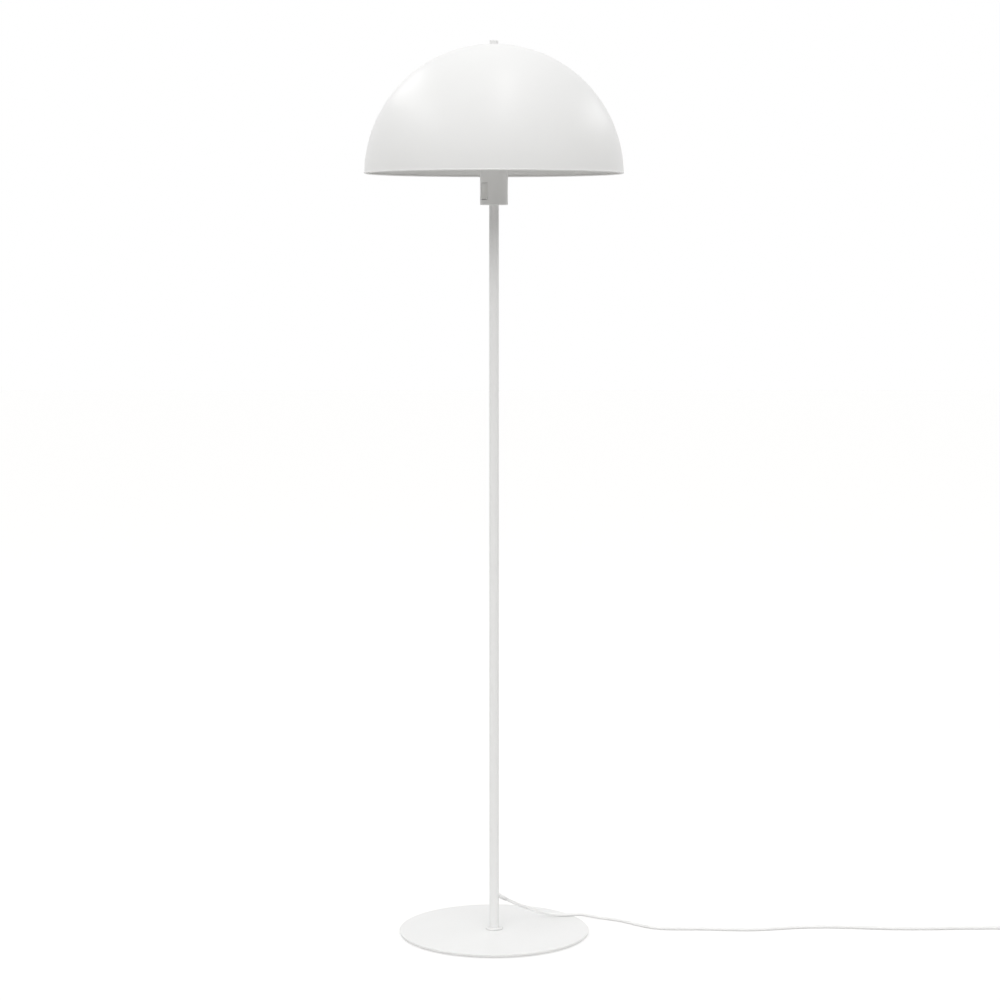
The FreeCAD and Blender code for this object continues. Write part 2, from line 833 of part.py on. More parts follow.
def make_inner_wires():
    """The lead up the pole, and the cores that leave it inside the lampholder.

    The cores' corners were chosen by hand, in the lampholder's own frame, so that they clear each other.
    """
    axis_height = exit_height + sizes["pole_diameter"] / 2 * math.tan(math.radians(sizes["cord_exit_slope"]))
    jacket_above_holder = 11
    wire_in_block = 4
    lead_end = holder_bottom.number + jacket_above_holder
    lead = [
        exit_point,
        FreeCAD.Vector(0, 0, axis_height),
        FreeCAD.Vector(0, 0, lead_end),
    ]
    tube("inner_lead", rounded_path("inner_lead", lead), sizes["cord_diameter"])
    wire = sizes["core_wire_diameter"]
    block_x = sizes["contact_offset"] + sizes["contact_thickness"] + sizes["terminal_length"] / 2
    block_bottom = core_top.number - sizes["contact_leg"] - sizes["terminal_below_leg"]
    wire_end = block_bottom + wire_in_block
    switch_z = switch_height.number
    tail_y = sizes["contact_tail"] + 0.2 - switch_back.number
    contact_z = sizes["bridge_contact_height"]
    turn = FreeCAD.Rotation(FreeCAD.Vector(0, 0, 1), sizes["front_angle"])
    routes = {
        "neutral_core": [
            (-1.2, 0, lead_end), (-1.2, 0, lead_end + 3), (-4.4, 1.6, lead_end + 6),
            (-block_x + 1.4, 1, block_bottom - 5.6), (-block_x, 0, block_bottom - 3.6), (-block_x, 0, wire_end),
        ],
        "line_core": [
            (1.2, 0, lead_end), (1.2, 0, lead_end + 3), (0, -0.8, switch_z),
            (0, tail_y, switch_z),
        ],
        "switched_core": [
            (0, tail_y, switch_z + contact_z), (0, tail_y + 4, switch_z + contact_z),
            (4.6, 5.6, switch_z + contact_z - 2.4), (block_x - 0.6, 3, block_bottom - 5.6),
            (block_x, 0, block_bottom - 3.6), (block_x, 0, wire_end),
        ],
    }
    for label, route in routes.items():
        points = [turn.multVec(FreeCAD.Vector(*point)) for point in route]
        tube(label, rounded_path(label, points), wire)


# ---- cup and its fixing ----

def make_nipple():
    length = of.nipple_below + of.nipple_above
    ring("threaded_nipple", cup_bottom - of.nipple_below, of.nipple_bore / 2, nipple_radius, length)


def make_cup_nut():
    body = body_named("cup_nut", washer_top)
    sketch = hexagon(sketch_on(body, "XY_Plane", "nut_outline"), of.nut_flats)
    circle(sketch, 0, 0, of.nipple_diameter + 2 * of.slip_gap)
    pad(body, sketch, of.nut_height)


def make_socket_cup():
    """The drawn cup, with a round lower edge and the switch's window."""
    body = body_named("socket_cup", cup_bottom, facing=True)
    radius = cup_radius
    inner = radius - of.cup_wall
    edge = of.cup_edge_radius
    hole = nipple_radius + of.slip_gap
    section = outline(
        sketch_on(body, "XZ_Plane", "cup_section"),
        (hole, 0), (radius - edge, 0), ("left", edge), (radius, edge), (radius, of.cup_height),
        (inner, of.cup_height), (inner, of.cup_wall), (hole, of.cup_wall),
    )
    revolve(body, section)
    window = sketch_on(body, "XZ_Plane", "window")
    rounded_rectangle(window, of.window_width, of.window_height, of.window_corner_radius, y=of.window_centre)
    pocket(body, window, cup_radius * 2, along=True)


# ---- lampholder ----

switch_half_width = of.window_width / 2 + of.switch_wall
switch_half_height = of.window_height / 2 + of.switch_wall - of.switch_end_trim


def make_holder_base():
    """The moulded lower half: a threaded boss, a wiring chamber, a seat for the core and the switch's bay."""
    body = body_named("holder_base", holder_bottom, facing=True)
    bore = nipple_radius + of.slip_gap
    boss = of.holder_boss_diameter / 2
    chamber = holder_radius - of.holder_wall
    neck_outer = holder_radius - of.holder_neck_wall
    seat = neck_outer - of.core_seat_wall
    shoulder = of.holder_base_height
    neck_top = shoulder + of.holder_neck_height
    seat_height = shoulder - of.core_seat
    chamfer = of.holder_chamfer
    section = outline(
        sketch_on(body, "XZ_Plane", "holder_section"),
        (bore, 0), (holder_radius - chamfer, 0), (holder_radius, chamfer), (holder_radius, shoulder),
        (neck_outer, shoulder), (neck_outer, neck_top), (seat, neck_top), (seat, seat_height),
        (chamber, seat_height), (chamber, of.holder_floor), (boss, of.holder_floor),
        (boss, of.holder_boss_height), (bore, of.holder_boss_height),
    )
    revolve(body, section)
    centre = switch_height - holder_bottom
    bay = sketch_on(body, "XZ_Plane", "switch_bay", switch_back - of.slip_gap)
    half_width = switch_half_width + of.slip_gap
    half_height = switch_half_height + of.slip_gap
    rectangle(bay, -half_width, centre - half_height, half_width, centre + half_height)
    pocket(body, bay, of.holder_diameter, along=True)


def make_holder_core():
    """The insulating disc, slotted for the two contacts."""
    body = body_named("holder_core", core_bottom, facing=True)
    radius = holder_radius - of.holder_neck_wall - of.core_seat_wall - of.slip_gap
    pad(body, circle(sketch_on(body, "XY_Plane", "core_outline"), 0, 0, radius * 2), of.core_thickness)
    slots = sketch_on(body, "XY_Plane", "core_slot")
    inner = of.contact_offset - of.slip_gap
    outer = of.contact_offset + of.contact_thickness + of.slip_gap
    half = of.contact_width / 2 + of.slip_gap
    rectangle(slots, inner, -half, outer, half)
    around(body, [pocket(body, slots, of.core_thickness, along=True)], 2)


def make_holder_shell():
    """The upper half: it caps the base's neck and holds the screw shell."""
    body = body_named("holder_shell", holder_bottom + of.holder_base_height + of.slip_gap)
    skirt = holder_radius - of.holder_neck_wall + of.slip_gap
    deck = of.holder_neck_height + of.holder_deck
    bore = of.screw_shell_diameter / 2 + of.slip_gap
    rim = of.holder_rim_diameter / 2
    top = of.holder_shell_height
    ledge = deck + of.screw_shell_height + of.holder_deck
    chamfer = of.holder_shell_chamfer
    section = outline(
        sketch_on(body, "XZ_Plane", "shell_section"),
        (skirt, 0), (holder_radius, 0), (holder_radius, top - chamfer), (holder_radius - chamfer, top),
        (rim, top), (rim - of.holder_rim_lip, ledge), (bore, ledge), (bore, deck), (skirt, deck),
    )
    revolve(body, section)


def make_screw_shell():
    """The thin metal shell that the bulb's cap screws into."""
    body = body_named("screw_shell", core_top + of.contact_thickness)
    outer = of.screw_shell_diameter / 2
    inner = outer - of.screw_shell_wall
    mouth = of.screw_shell_mouth / 2
    section = outline(
        sketch_on(body, "XZ_Plane", "screw_shell_section"),
        (mouth, 0), (outer, 0), (outer, of.screw_shell_height), (inner, of.screw_shell_height),
        (inner, of.screw_shell_wall), (mouth, of.screw_shell_wall),
    )
    revolve(body, section)


def make_contacts():
    """Two bent brass strips: one springs up under the bulb's tip, one lies under the screw shell."""
    near = of.contact_offset
    far = near + of.contact_thickness
    thick = of.contact_thickness
    rise = of.centre_contact_rise
    tongue_start, tongue_end = -of.centre_contact_from, -of.centre_contact_to
    fold = 0.2
    centre = body_named("centre_contact", core_top, facing=True)
    strip = outline(
        sketch_on(centre, "XZ_Plane", "centre_strip"),
        (near, -of.contact_leg), (far, -of.contact_leg), (far, thick), (near, thick * 2),
        (tongue_start, rise), (tongue_end, rise), (tongue_end, rise - thick),
        (tongue_start - fold, rise - thick), (near - fold, thick), (near, 0),
    )
    pad(centre, strip, of.contact_width, symmetric=True)
    side = body_named("side_contact", core_top, facing=True)
    edge = 0.8
    reach = of.screw_shell_diameter / 2 - edge
    strip = outline(
        sketch_on(side, "XZ_Plane", "side_strip"),
        (-far, -of.contact_leg), (-near, -of.contact_leg), (-near, thick), (-reach, thick), (-reach, 0),
        (-far, 0),
    )
    pad(side, strip, of.contact_width, symmetric=True)


def make_terminals():
    """Two brass blocks on the contacts' legs, and their screws."""
    start = of.contact_offset + of.contact_thickness
    middle = start + of.terminal_length / 2
    bottom = core_top - of.contact_leg - of.terminal_below_leg
    blocks = body_named("terminal_blocks", bottom, facing=True)
    footprint = sketch_on(blocks, "XY_Plane", "block_footprint")
    half = of.terminal_width / 2
    rectangle(footprint, start, -half, start + of.terminal_length, half)
    circle(footprint, middle, 0, of.core_wire_diameter + of.terminal_wire_gap)
    block = pad(blocks, footprint, of.terminal_height)
    screw_level = of.terminal_screw_level
    shank = of.terminal_screw_diameter
    thread = sketch_on(blocks, "XZ_Plane", "screw_hole", half)
    circle(thread, middle, screw_level, shank + 2 * of.slip_gap)
    around(blocks, [block, pocket(blocks, thread, half)], 2)
    screws = body_named("terminal_screws", bottom + screw_level, facing=True)
    tip = of.core_wire_diameter / 2 + of.terminal_wire_gap
    head = circle(sketch_on(screws, "XZ_Plane", "screw_head", half), middle, 0, of.terminal_screw_head)
    stem = circle(sketch_on(screws, "XZ_Plane", "screw_stem", half), middle, 0, shank)
    head_pad = pad(screws, head, of.terminal_screw_head_height)
    around(screws, [head_pad, pad(screws, stem, half - tip, against=True)], 2)


# ---- rocker switch ----

rocker_width = of.window_width - 2 * of.loose_gap
rocker_half_height = of.window_height / 2 - of.rocker_end_gap
rocker_tip_depth = of.rocker_depth + rocker_half_height * tangent(of.rocker_angle)
rocker_end_radius = root(rocker_tip_depth * rocker_tip_depth + rocker_half_height * rocker_half_height)


def make_switch_frame():
    """An open box behind the window, with bores for the trunnions, slots for two contacts and a stop."""
    body = body_named("switch_frame", switch_height, facing=True)
    back = sketch_on(body, "XZ_Plane", "frame_outline", switch_back)
    rectangle(back, -switch_half_width, -switch_half_height, switch_half_width, switch_half_height)
    pad(body, back, of.switch_depth)
    half_width = of.window_width / 2
    half_height = rocker_end_radius + of.rocker_swing_gap
    cavity = sketch_on(body, "XZ_Plane", "frame_cavity", switch_back + of.switch_floor)
    rectangle(cavity, -half_width, -half_height, half_width, half_height)
    pocket(body, cavity, of.switch_depth, along=True)
    bores = sketch_on(body, "YZ_Plane", "trunnion_bores")
    circle(bores, -rocker_pivot_depth, 0, of.trunnion_diameter + 2 * of.slip_gap)
    pocket(body, bores, switch_half_width * 4, symmetric=True)
    stop = sketch_on(body, "XZ_Plane", "frame_stop", switch_back)
    rest = of.bridge_contact_height
    stop_width, stop_height = of.stop_half_width, of.stop_half_height
    rectangle(stop, -stop_width, -(rest + stop_height), stop_width, -(rest - stop_height))
    pad(body, stop, of.switch_floor + of.contact_rise)
    slots = sketch_on(body, "XZ_Plane", "contact_slots", switch_back)
    half = of.bridge_width / 2 + of.slip_gap
    slot_half = of.strip_thickness / 2 + of.slip_gap
    for height in (as_size(0), rest):
        rectangle(slots, -half, height - slot_half, half, height + slot_half)
    pocket(body, slots, of.switch_floor, along=True)


def make_rocker():
    """A hollow rocker with a shallow V face, round ends about its pivot, two trunnions and a spring pocket."""
    body = body_named("rocker", switch_height, True, -of.rocker_angle, rocker_pivot_depth)
    tip, half = rocker_tip_depth, rocker_half_height
    skirt = of.rocker_skirt
    skirt_height = root(rocker_end_radius * rocker_end_radius - skirt * skirt)
    side = outline(
        sketch_on(body, "YZ_Plane", "rocker_side"),
        (-of.rocker_depth, 0), (-tip, -half), ("left", rocker_end_radius), (skirt, -skirt_height),
        (skirt, skirt_height), ("left", rocker_end_radius), (-tip, half),
    )
    pad(body, side, rocker_width, symmetric=True)
    wall = of.rocker_wall
    tip_wall = wall * 1.2
    open_side = skirt + wall
    inner_half = half - wall
    hollow = outline(
        sketch_on(body, "YZ_Plane", "rocker_hollow"),
        (wall - of.rocker_depth, 0), (tip_wall - tip, -inner_half), (open_side, -inner_half),
        (open_side, inner_half), (tip_wall - tip, inner_half),
    )
    pocket(body, hollow, rocker_width - 2 * wall, symmetric=True)
    mouth = of.plunger_sleeve_depth
    sleeve = of.plunger_diameter + 2 * of.plunger_sleeve_wall
    boss = circle(sketch_on(body, "XZ_Plane", "spring_boss", -mouth), 0, 0, sleeve)
    pad(body, boss, mouth + of.rocker_depth - wall / 2)
    clear = of.plunger_diameter + 2 * of.plunger_sleeve_gap
    bore = circle(sketch_on(body, "XZ_Plane", "spring_bore", -mouth), 0, 0, clear)
    pocket(body, bore, mouth + of.rocker_depth - wall, along=True)
    for name, against in (("right_trunnion", False), ("left_trunnion", True)):
        start = rocker_width / 2 - wall / 2
        trunnion = sketch_on(body, "YZ_Plane", name, -start if against else start)
        circle(trunnion, 0, 0, of.trunnion_diameter)
        pad(body, trunnion, wall / 2 + of.trunnion_length, against=against)


def make_plunger():
    """The sprung pin that slides over the contact bridge."""
    body = body_named("switch_plunger", switch_height, True, -of.rocker_angle, rocker_pivot_depth)
    radius = of.plunger_diameter / 2
    reach = of.plunger_reach
    start = reach - of.plunger_length
    almost = 0.98
    section = outline(
        sketch_on(body, "YZ_Plane", "plunger_section"),
        (start, 0), (reach - radius * almost, 0), (reach, 0), ("left", radius), (reach - radius, radius),
        (start, radius),
    )
    revolve(body, section, "H_Axis")


def make_spring():
    """The coil spring behind the plunger."""
    body = body_named("switch_spring", switch_height, True, -of.rocker_angle, rocker_pivot_depth)
    start = of.rocker_wall - of.rocker_depth + of.spring_wire
    height = of.plunger_reach - of.plunger_length - start - of.spring_wire
    mean = of.plunger_diameter / 2 - of.spring_wire / 2
    wire = circle(sketch_on(body, "YZ_Plane", "spring_wire"), start, mean, of.spring_wire)
    helix = body.newObject("PartDesign::AdditiveHelix", "spring_helix")
    helix.Profile = wire
    helix.ReferenceAxis = (wire, ["H_Axis"])
    helix.Mode = "height-turns-angle"
    bind(helix, "Height", height)
    bind(helix, "Turns", of.spring_turns)
    helix.Angle = 0
    body.Tip = helix


def make_bridge():
    """The see-saw contact that rocks on the line contact's round edge."""
    body = body_named("contact_bridge", switch_height, True, of.bridge_tilt, bridge_pivot_depth)
    half = of.bridge_length / 2
    back = of.strip_thickness / 2 + of.bridge_gap
    sketch = sketch_on(body, "YZ_Plane", "bridge_side")
    rectangle(sketch, -(back + of.bridge_thickness), -half, -back, half)
    pad(body, sketch, of.bridge_width, symmetric=True)


def make_switch_contacts():
    """Two brass strips that stand through the frame's floor: one with a round edge, one with a flat one."""
    half = of.strip_thickness / 2
    back = switch_back - of.contact_tail
    line = body_named("line_contact", switch_height, facing=True)
    pivot = -bridge_pivot_depth
    edge = outline(
        sketch_on(line, "YZ_Plane", "line_strip"),
        (-back, half), (pivot, half), ("left", half), (pivot - half, 0), ("left", half), (pivot, -half),
        (-back, -half),
    )
    pad(line, edge, of.bridge_width, symmetric=True)
    load = body_named("load_contact", switch_height, facing=True)
    front = switch_back + of.switch_floor + of.contact_rise
    centre = of.bridge_contact_height
    strip = sketch_on(load, "YZ_Plane", "load_strip")
    rectangle(strip, -front, centre - half, -back, centre + half)
    pad(load, strip, of.bridge_width, symmetric=True)


# ---- harp and shade ----

def make_shade_ring():
    """The notched ring nut on the holder's shell that clamps the harp's foot on the cup."""
    body = body_named("shade_ring", harp_bottom)
    bore = holder_radius + of.slip_gap
    flange = ring_flange_radius
    collar = holder_radius + of.ring_wall
    chamfer = of.ring_chamfer
    section = outline(
        sketch_on(body, "XZ_Plane", "ring_section"),
        (bore, 0), (flange, 0), (flange, of.ring_flange_thickness), (collar, of.ring_flange_thickness),
        (collar, of.ring_height - chamfer), (collar - chamfer, of.ring_height), (bore, of.ring_height),
    )
    revolve(body, section)
    notch = sketch_on(body, "XY_Plane", "ring_notch", of.ring_flange_thickness)
    circle(notch, collar + of.ring_notch_inset, 0, of.ring_notch_diameter)
    around(body, [pocket(body, notch, of.ring_height, along=True)], sizes["ring_notches"])


def make_harp_foot():
    """The flat ring on the cup's edge, with a lug for each arm."""
    body = body_named("harp_foot", cup_top)
    disc = sketch_on(body, "XY_Plane", "foot_outline")
    circle(disc, 0, 0, (ring_flange_radius + of.harp_foot_margin) * 2)
    circle(disc, 0, 0, of.holder_diameter + 2 * of.harp_foot_gap)
    pad(body, disc, of.harp_foot_thickness)
    lug = sketch_on(body, "XY_Plane", "foot_lug")
    half = of.harp_lug_width / 2
    start = holder_radius + of.harp_lug_overlap
    end = harp_foot_reach
    under_half_circle = 1.02
    radius = half * under_half_circle
    outline(lug, (start, -half), (end, -half), ("left", radius), (end, half), (start, half))
    around(body, [pad(body, lug, of.harp_foot_thickness)], 2)


def make_harp_arms():
    """Two wires bowed round the bulb, from the foot's lugs to the plate.

    Each wire's corners stand at shares of the harp's height, chosen for the bow's line.
    """
    foot = harp_foot_reach.number
    bulge = sizes["harp_width"] / 2
    top = sizes["harp_top_width"] / 2
    start = harp_bottom.number
    end = plate_bottom.number
    rise = sizes["harp_height"]
    for label, side in (("harp_arm_left", -1), ("harp_arm_right", 1)):
        points = [
            FreeCAD.Vector(side * foot, 0, start),
            FreeCAD.Vector(side * foot, 0, start + rise * 0.1),
            FreeCAD.Vector(side * bulge, 0, start + rise * 0.29),
            FreeCAD.Vector(side * bulge, 0, start + rise * 0.64),
            FreeCAD.Vector(side * (bulge * 0.3 + top * 0.7), 0, start + rise * 0.9),
            FreeCAD.Vector(side * top, 0, start + rise * 0.95),
            FreeCAD.Vector(side * top, 0, end),
        ]
        tube(label, rounded_path(label, points), sizes["harp_wire"])


def make_shade_stud():
    body = body_named("shade_stud", plate_bottom)
    radius = of.stud_diameter / 2
    shoulder = of.stud_shoulder_diameter / 2
    top = shade_top - plate_bottom + of.stud_reach
    chamfer = of.stud_chamfer
    section = outline(
        sketch_on(body, "XZ_Plane", "stud_section"),
        (0, -of.stud_shoulder_height), (shoulder, -of.stud_shoulder_height), (shoulder, 0), (radius, 0),
        (radius, top - chamfer), (radius - chamfer, top), (0, top),
    )
    revolve(body, section)


def make_shade():
    """The spun dome: a flat seat at the crown, a round wall, and a rolled bead at the rim."""
    body = body_named("shade", shade_top)
    outer = of.shade_diameter / 2
    inner = outer - of.shade_wall
    seat = of.shade_flat / 2
    hole = of.stud_diameter / 2 + of.shade_hole_gap
    centre = -root(outer * outer - seat * seat)
    rim = centre + of.shade_rim_lift + of.shade_bead / 2
    rim_rise = rim - centre
    outer_rim = root(outer * outer - rim_rise * rim_rise)
    inner_rim = root(inner * inner - rim_rise * rim_rise)
    inside = -of.shade_wall
    inner_seat = root(inner * inner - (inside - centre) * (inside - centre))
    wall = outline(
        sketch_on(body, "XZ_Plane", "dome_section"),
        (hole, inside), (inner_seat, inside), ("right", inner), (inner_rim, rim), (outer_rim, rim),
        ("left", outer), (seat, 0), (hole, 0),
    )
    revolve(body, wall)
    bead = sketch_on(body, "XZ_Plane", "rim_bead")
    circle(bead, outer_rim - of.shade_bead / 2 + of.shade_bead_proud, rim, of.shade_bead)
    revolve(body, bead)


def make_finial():
    """A plain round nut with a blind thread and a recess for its washer."""
    body = body_named("finial", shade_top)
    radius = of.finial_diameter / 2
    bore = of.stud_diameter / 2 + of.slip_gap
    recess = of.finial_washer_diameter / 2 + of.slip_gap
    thick = of.finial_washer_thickness
    edge = of.finial_edge
    top = of.finial_height
    section = outline(
        sketch_on(body, "XZ_Plane", "finial_section"),
        (0, of.finial_bore_depth), (bore, of.finial_bore_depth), (bore, thick), (recess, thick), (recess, 0),
        (radius, 0), (radius, top - edge), ("left", edge), (radius - edge, top), (0, top),
    )
    revolve(body, section)


# ---- bulb ----

def make_bulb():
    """A classic pear bulb with a screw cap, standing on its tip."""
    cap = of.bulb_cap_diameter / 2
    cap_inner = cap - of.bulb_cap_wall
    start, end = of.bulb_cap_start, of.bulb_cap_end
    tip_radius = of.bulb_tip_diameter / 2
    tip_height = of.bulb_tip_height
    tip = body_named("bulb_tip", bulb_bottom)
    revolve(tip, outline(
        sketch_on(tip, "XZ_Plane", "tip_section"),
        (0, 0), (tip_radius - of.bulb_tip_chamfer, 0), (tip_radius, tip_height), (0, tip_height),
    ))
    insulator = body_named("bulb_insulator", bulb_bottom)
    insulator_radius = cap_inner - of.slip_gap
    insulator_top = start + of.bulb_insulator_edge
    revolve(insulator, outline(
        sketch_on(insulator, "XZ_Plane", "insulator_section"),
        (0, tip_height), (tip_radius + of.bulb_insulator_rim, tip_height), (insulator_radius, start),
        (insulator_radius, insulator_top), (0, insulator_top),
    ))
    flare = cap + of.bulb_cap_flare
    shell = body_named("bulb_cap", bulb_bottom)
    revolve(shell, outline(
        sketch_on(shell, "XZ_Plane", "cap_section"),
        (cap_inner, start), (cap, start), (cap, end - of.bulb_cap_flare_height), (flare, end),
        (cap_inner, end),
    ))
    globe_radius = of.bulb_diameter / 2
    globe_centre = of.bulb_length - globe_radius
    joint = of.bulb_globe_joint
    drop = globe_centre - joint
    joint_radius = root(globe_radius * globe_radius - drop * drop)
    housing = body_named("bulb_housing", bulb_bottom)
    revolve(housing, outline(
        sketch_on(housing, "XZ_Plane", "housing_section"),
        (0, insulator_top), (insulator_radius, insulator_top), (insulator_radius, end), (flare, end),
        (flare + of.bulb_housing_lip, end + of.bulb_housing_lip_height), ("right", of.bulb_housing_curve),
        (joint_radius, joint), (0, joint),
    ))
    globe = body_named("bulb_globe", bulb_bottom)
    inner_radius = globe_radius - of.bulb_globe_wall
    inner_joint = root(inner_radius * inner_radius - drop * drop)
    shoulder = globe_centre
    revolve(globe, outline(
        sketch_on(globe, "XZ_Plane", "globe_section"),
        (inner_joint, joint), (joint_radius, joint), ("left", globe_radius), (globe_radius, shoulder),
        ("left", globe_radius), (0, of.bulb_length), (0, of.bulb_length - of.bulb_globe_wall),
        ("right", inner_radius), (inner_radius, shoulder), ("right", inner_radius),
    ))


# ---- plug ----

def place_plug_part(body, place):
    """Lay a part of the plug at the cord's end, with its pins towards +Y."""
    for axis in "xyz":
        body.setExpression("Placement.Base." + axis, None)
    body.Placement = FreeCAD.Placement(place, FreeCAD.Rotation())


def make_plug(place):
    """A flat two-pin mains plug: a tapered relief, a waisted body and two sleeved round pins."""
    body = body_named("plug_body")
    place_plug_part(body, place)
    relief = of.plug_relief_length
    relief_end = relief + of.plug_relief_overlap
    face = relief + of.plug_body_length
    waist = relief + of.plug_body_length * of.plug_waist_share
    shoulder = relief + of.plug_body_length * of.plug_shoulder_share
    radius = of.plug_corner_radius
    section = outline(
        sketch_on(body, "YZ_Plane", "relief_section"),
        (0, 0), (relief_end, 0), (relief_end, of.plug_relief_end / 2), (0, relief_tip_diameter / 2),
    )
    revolve(body, section, "H_Axis")
    stations = (
        (relief, of.plug_neck_width, of.plug_neck_height),
        (waist, of.plug_width * of.plug_waist_width_share, of.plug_height),
        (shoulder, of.plug_width, of.plug_height),
        (face, of.plug_face_width, of.plug_height),
    )
    outlines = []
    for number, (distance, width, height) in enumerate(stations):
        station = sketch_on(body, "XZ_Plane", f"plug_station_{number}", -distance)
        outlines.append(rounded_rectangle(station, width, height, radius))
    loft = body.newObject("PartDesign::AdditiveLoft", "plug_loft")
    loft.Profile = outlines[0]
    loft.Sections = outlines[1:]
    loft.Ruled = True
    body.Tip = loft
    pins = body_named("plug_pins")
    place_plug_part(pins, place)
    sleeves = body_named("pin_sleeves")
    place_plug_part(sleeves, place)
    pin_radius = of.pin_diameter / 2
    half = of.pin_spacing / 2
    for name, x in (("left", -half), ("right", half)):
        core = circle(sketch_on(pins, "XZ_Plane", name + "_pin_core", -face), x, 0, of.pin_core_diameter)
        pad(pins, core, of.sleeve_length, against=True)
        bare = sketch_on(pins, "XZ_Plane", name + "_pin_bare", -(face + of.sleeve_length))
        pad(pins, circle(bare, x, 0, of.pin_diameter), of.pin_length - of.sleeve_length, against=True)
        sleeve = sketch_on(sleeves, "XZ_Plane", name + "_sleeve", -face)
        circle(sleeve, x, 0, of.sleeve_diameter)
        circle(sleeve, x, 0, of.pin_core_diameter)
        pad(sleeves, sleeve, of.sleeve_length, against=True)


make_base_pads()
make_base_plate()
make_foot_screw()
make_pole_insert("foot_insert", base_top, of.foot_screw_diameter / 2 + of.slip_gap)
make_pole_collar()
make_pole()
make_pole_insert("top_insert", cup_bottom - of.insert_length, nipple_radius + of.slip_gap)
make_cord_bushing()
plug_place = make_cords()
make_plug(plug_place)
make_inner_wires()
make_nipple()
ring("cup_washer", cup_floor, nipple_radius + of.slip_gap, of.washer_diameter / 2, of.washer_thickness)
make_cup_nut()
make_socket_cup()
make_holder_base()
make_holder_core()
make_holder_shell()
make_screw_shell()
make_contacts()
make_terminals()
make_switch_frame()
make_rocker()
make_plunger()
make_spring()
make_bridge()
make_switch_contacts()
make_shade_ring()
make_harp_foot()
make_harp_arms()
ring("harp_plate", plate_bottom, of.stud_diameter / 2 + of.slip_gap, of.harp_plate_diameter / 2,
     of.harp_plate_thickness)
make_shade_stud()
ring("shade_washer", plate_top, of.stud_diameter / 2 + of.slip_gap, of.shade_washer_diameter / 2,
     of.shade_washer_thickness)
make_shade()
ring("finial_washer", shade_top, of.stud_diameter / 2 + of.slip_gap, of.finial_washer_diameter / 2,
     of.finial_washer_thickness)
make_finial()
make_bulb()

doc.recompute()
for item in doc.Objects:
    if "Invalid" in item.State or "Error" in item.State:
        raise RuntimeError(f"{item.Name} failed: {item.State}")
for piece in pieces:
    if piece.Shape.isNull() or not piece.Shape.isValid():
        raise RuntimeError(piece.Label + " has no valid shape")

os.makedirs("parts", exist_ok=True)
for piece in pieces:
    piece.Shape.exportStep(f"parts/{piece.Label}.step")
print(len(pieces), "pieces")
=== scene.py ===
import bmesh
import bpy
import math
import numpy as np
from mathutils import Matrix, Vector


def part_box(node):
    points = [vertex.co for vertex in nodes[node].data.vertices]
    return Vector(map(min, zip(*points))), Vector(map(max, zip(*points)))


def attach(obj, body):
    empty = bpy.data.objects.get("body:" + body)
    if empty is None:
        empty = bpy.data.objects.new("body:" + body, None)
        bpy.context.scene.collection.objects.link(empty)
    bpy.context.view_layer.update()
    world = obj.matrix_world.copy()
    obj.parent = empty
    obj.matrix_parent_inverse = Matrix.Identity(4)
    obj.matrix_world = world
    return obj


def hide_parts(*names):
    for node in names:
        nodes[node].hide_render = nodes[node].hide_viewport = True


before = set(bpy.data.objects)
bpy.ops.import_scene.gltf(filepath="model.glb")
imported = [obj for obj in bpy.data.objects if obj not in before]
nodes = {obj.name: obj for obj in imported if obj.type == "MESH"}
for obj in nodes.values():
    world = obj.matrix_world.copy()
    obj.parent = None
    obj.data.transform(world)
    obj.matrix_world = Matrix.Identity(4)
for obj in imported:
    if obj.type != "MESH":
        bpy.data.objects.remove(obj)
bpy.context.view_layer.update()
scene = bpy.context.scene
mm = 0.001  # the frame is in metres
print("frame loaded:", len(nodes), "CAD nodes")


# camera

cameraSettings = {
    "place": (9.3 * mm, -3.9425, 1.09),  # a little to the right of the pole, a little over its middle
    "tiltDown": 5.776,  # degrees
    "lens": 91.3,
    "sensor": 36.0,
}


def makeCamera():
    data = bpy.data.cameras.new("camera")
    data.lens = cameraSettings["lens"]
    data.sensor_width = cameraSettings["sensor"]
    camera = bpy.data.objects.new("camera", data)
    camera.location = cameraSettings["place"]
    camera.rotation_euler = (math.radians(90 - cameraSettings["tiltDown"]), 0, 0)
    scene.collection.objects.link(camera)
    scene.camera = camera


makeCamera()
print("camera placed")


# cord

poleRadius = (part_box("pole")[1].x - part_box("pole")[0].x) / 2
reliefSettings = {
    "exitHeight": 60 * mm,
    "slope": 29,  # degrees below level
    "length": 22 * mm,
    "rootRadius": 3.8 * mm,
    "tipRadius": 2.95 * mm,
    "tipEdge": 0.5 * mm,
    "buried": 4 * mm,  # inside the pole's wall, out of sight
    "squeeze": 0.1 * mm,  # how far the bore is under the cord's radius
    "grooves": 5,
    "groovesFrom": 0.16,  # share of the length before the first groove
    "groovesRun": 0.68,  # share of the length that has grooves
    "grooveDepth": 0.35 * mm,
    "rows": 90,
    "segments": 64,
}
exitFlat = Vector((math.cos(math.pi / 4), math.sin(math.pi / 4), 0))  # behind the pole, on its right
exitSlope = math.radians(reliefSettings["slope"])
exitDirection = exitFlat * math.cos(exitSlope) - Vector((0, 0, math.sin(exitSlope)))
exitPoint = exitFlat * poleRadius + Vector((0, 0, reliefSettings["exitHeight"]))

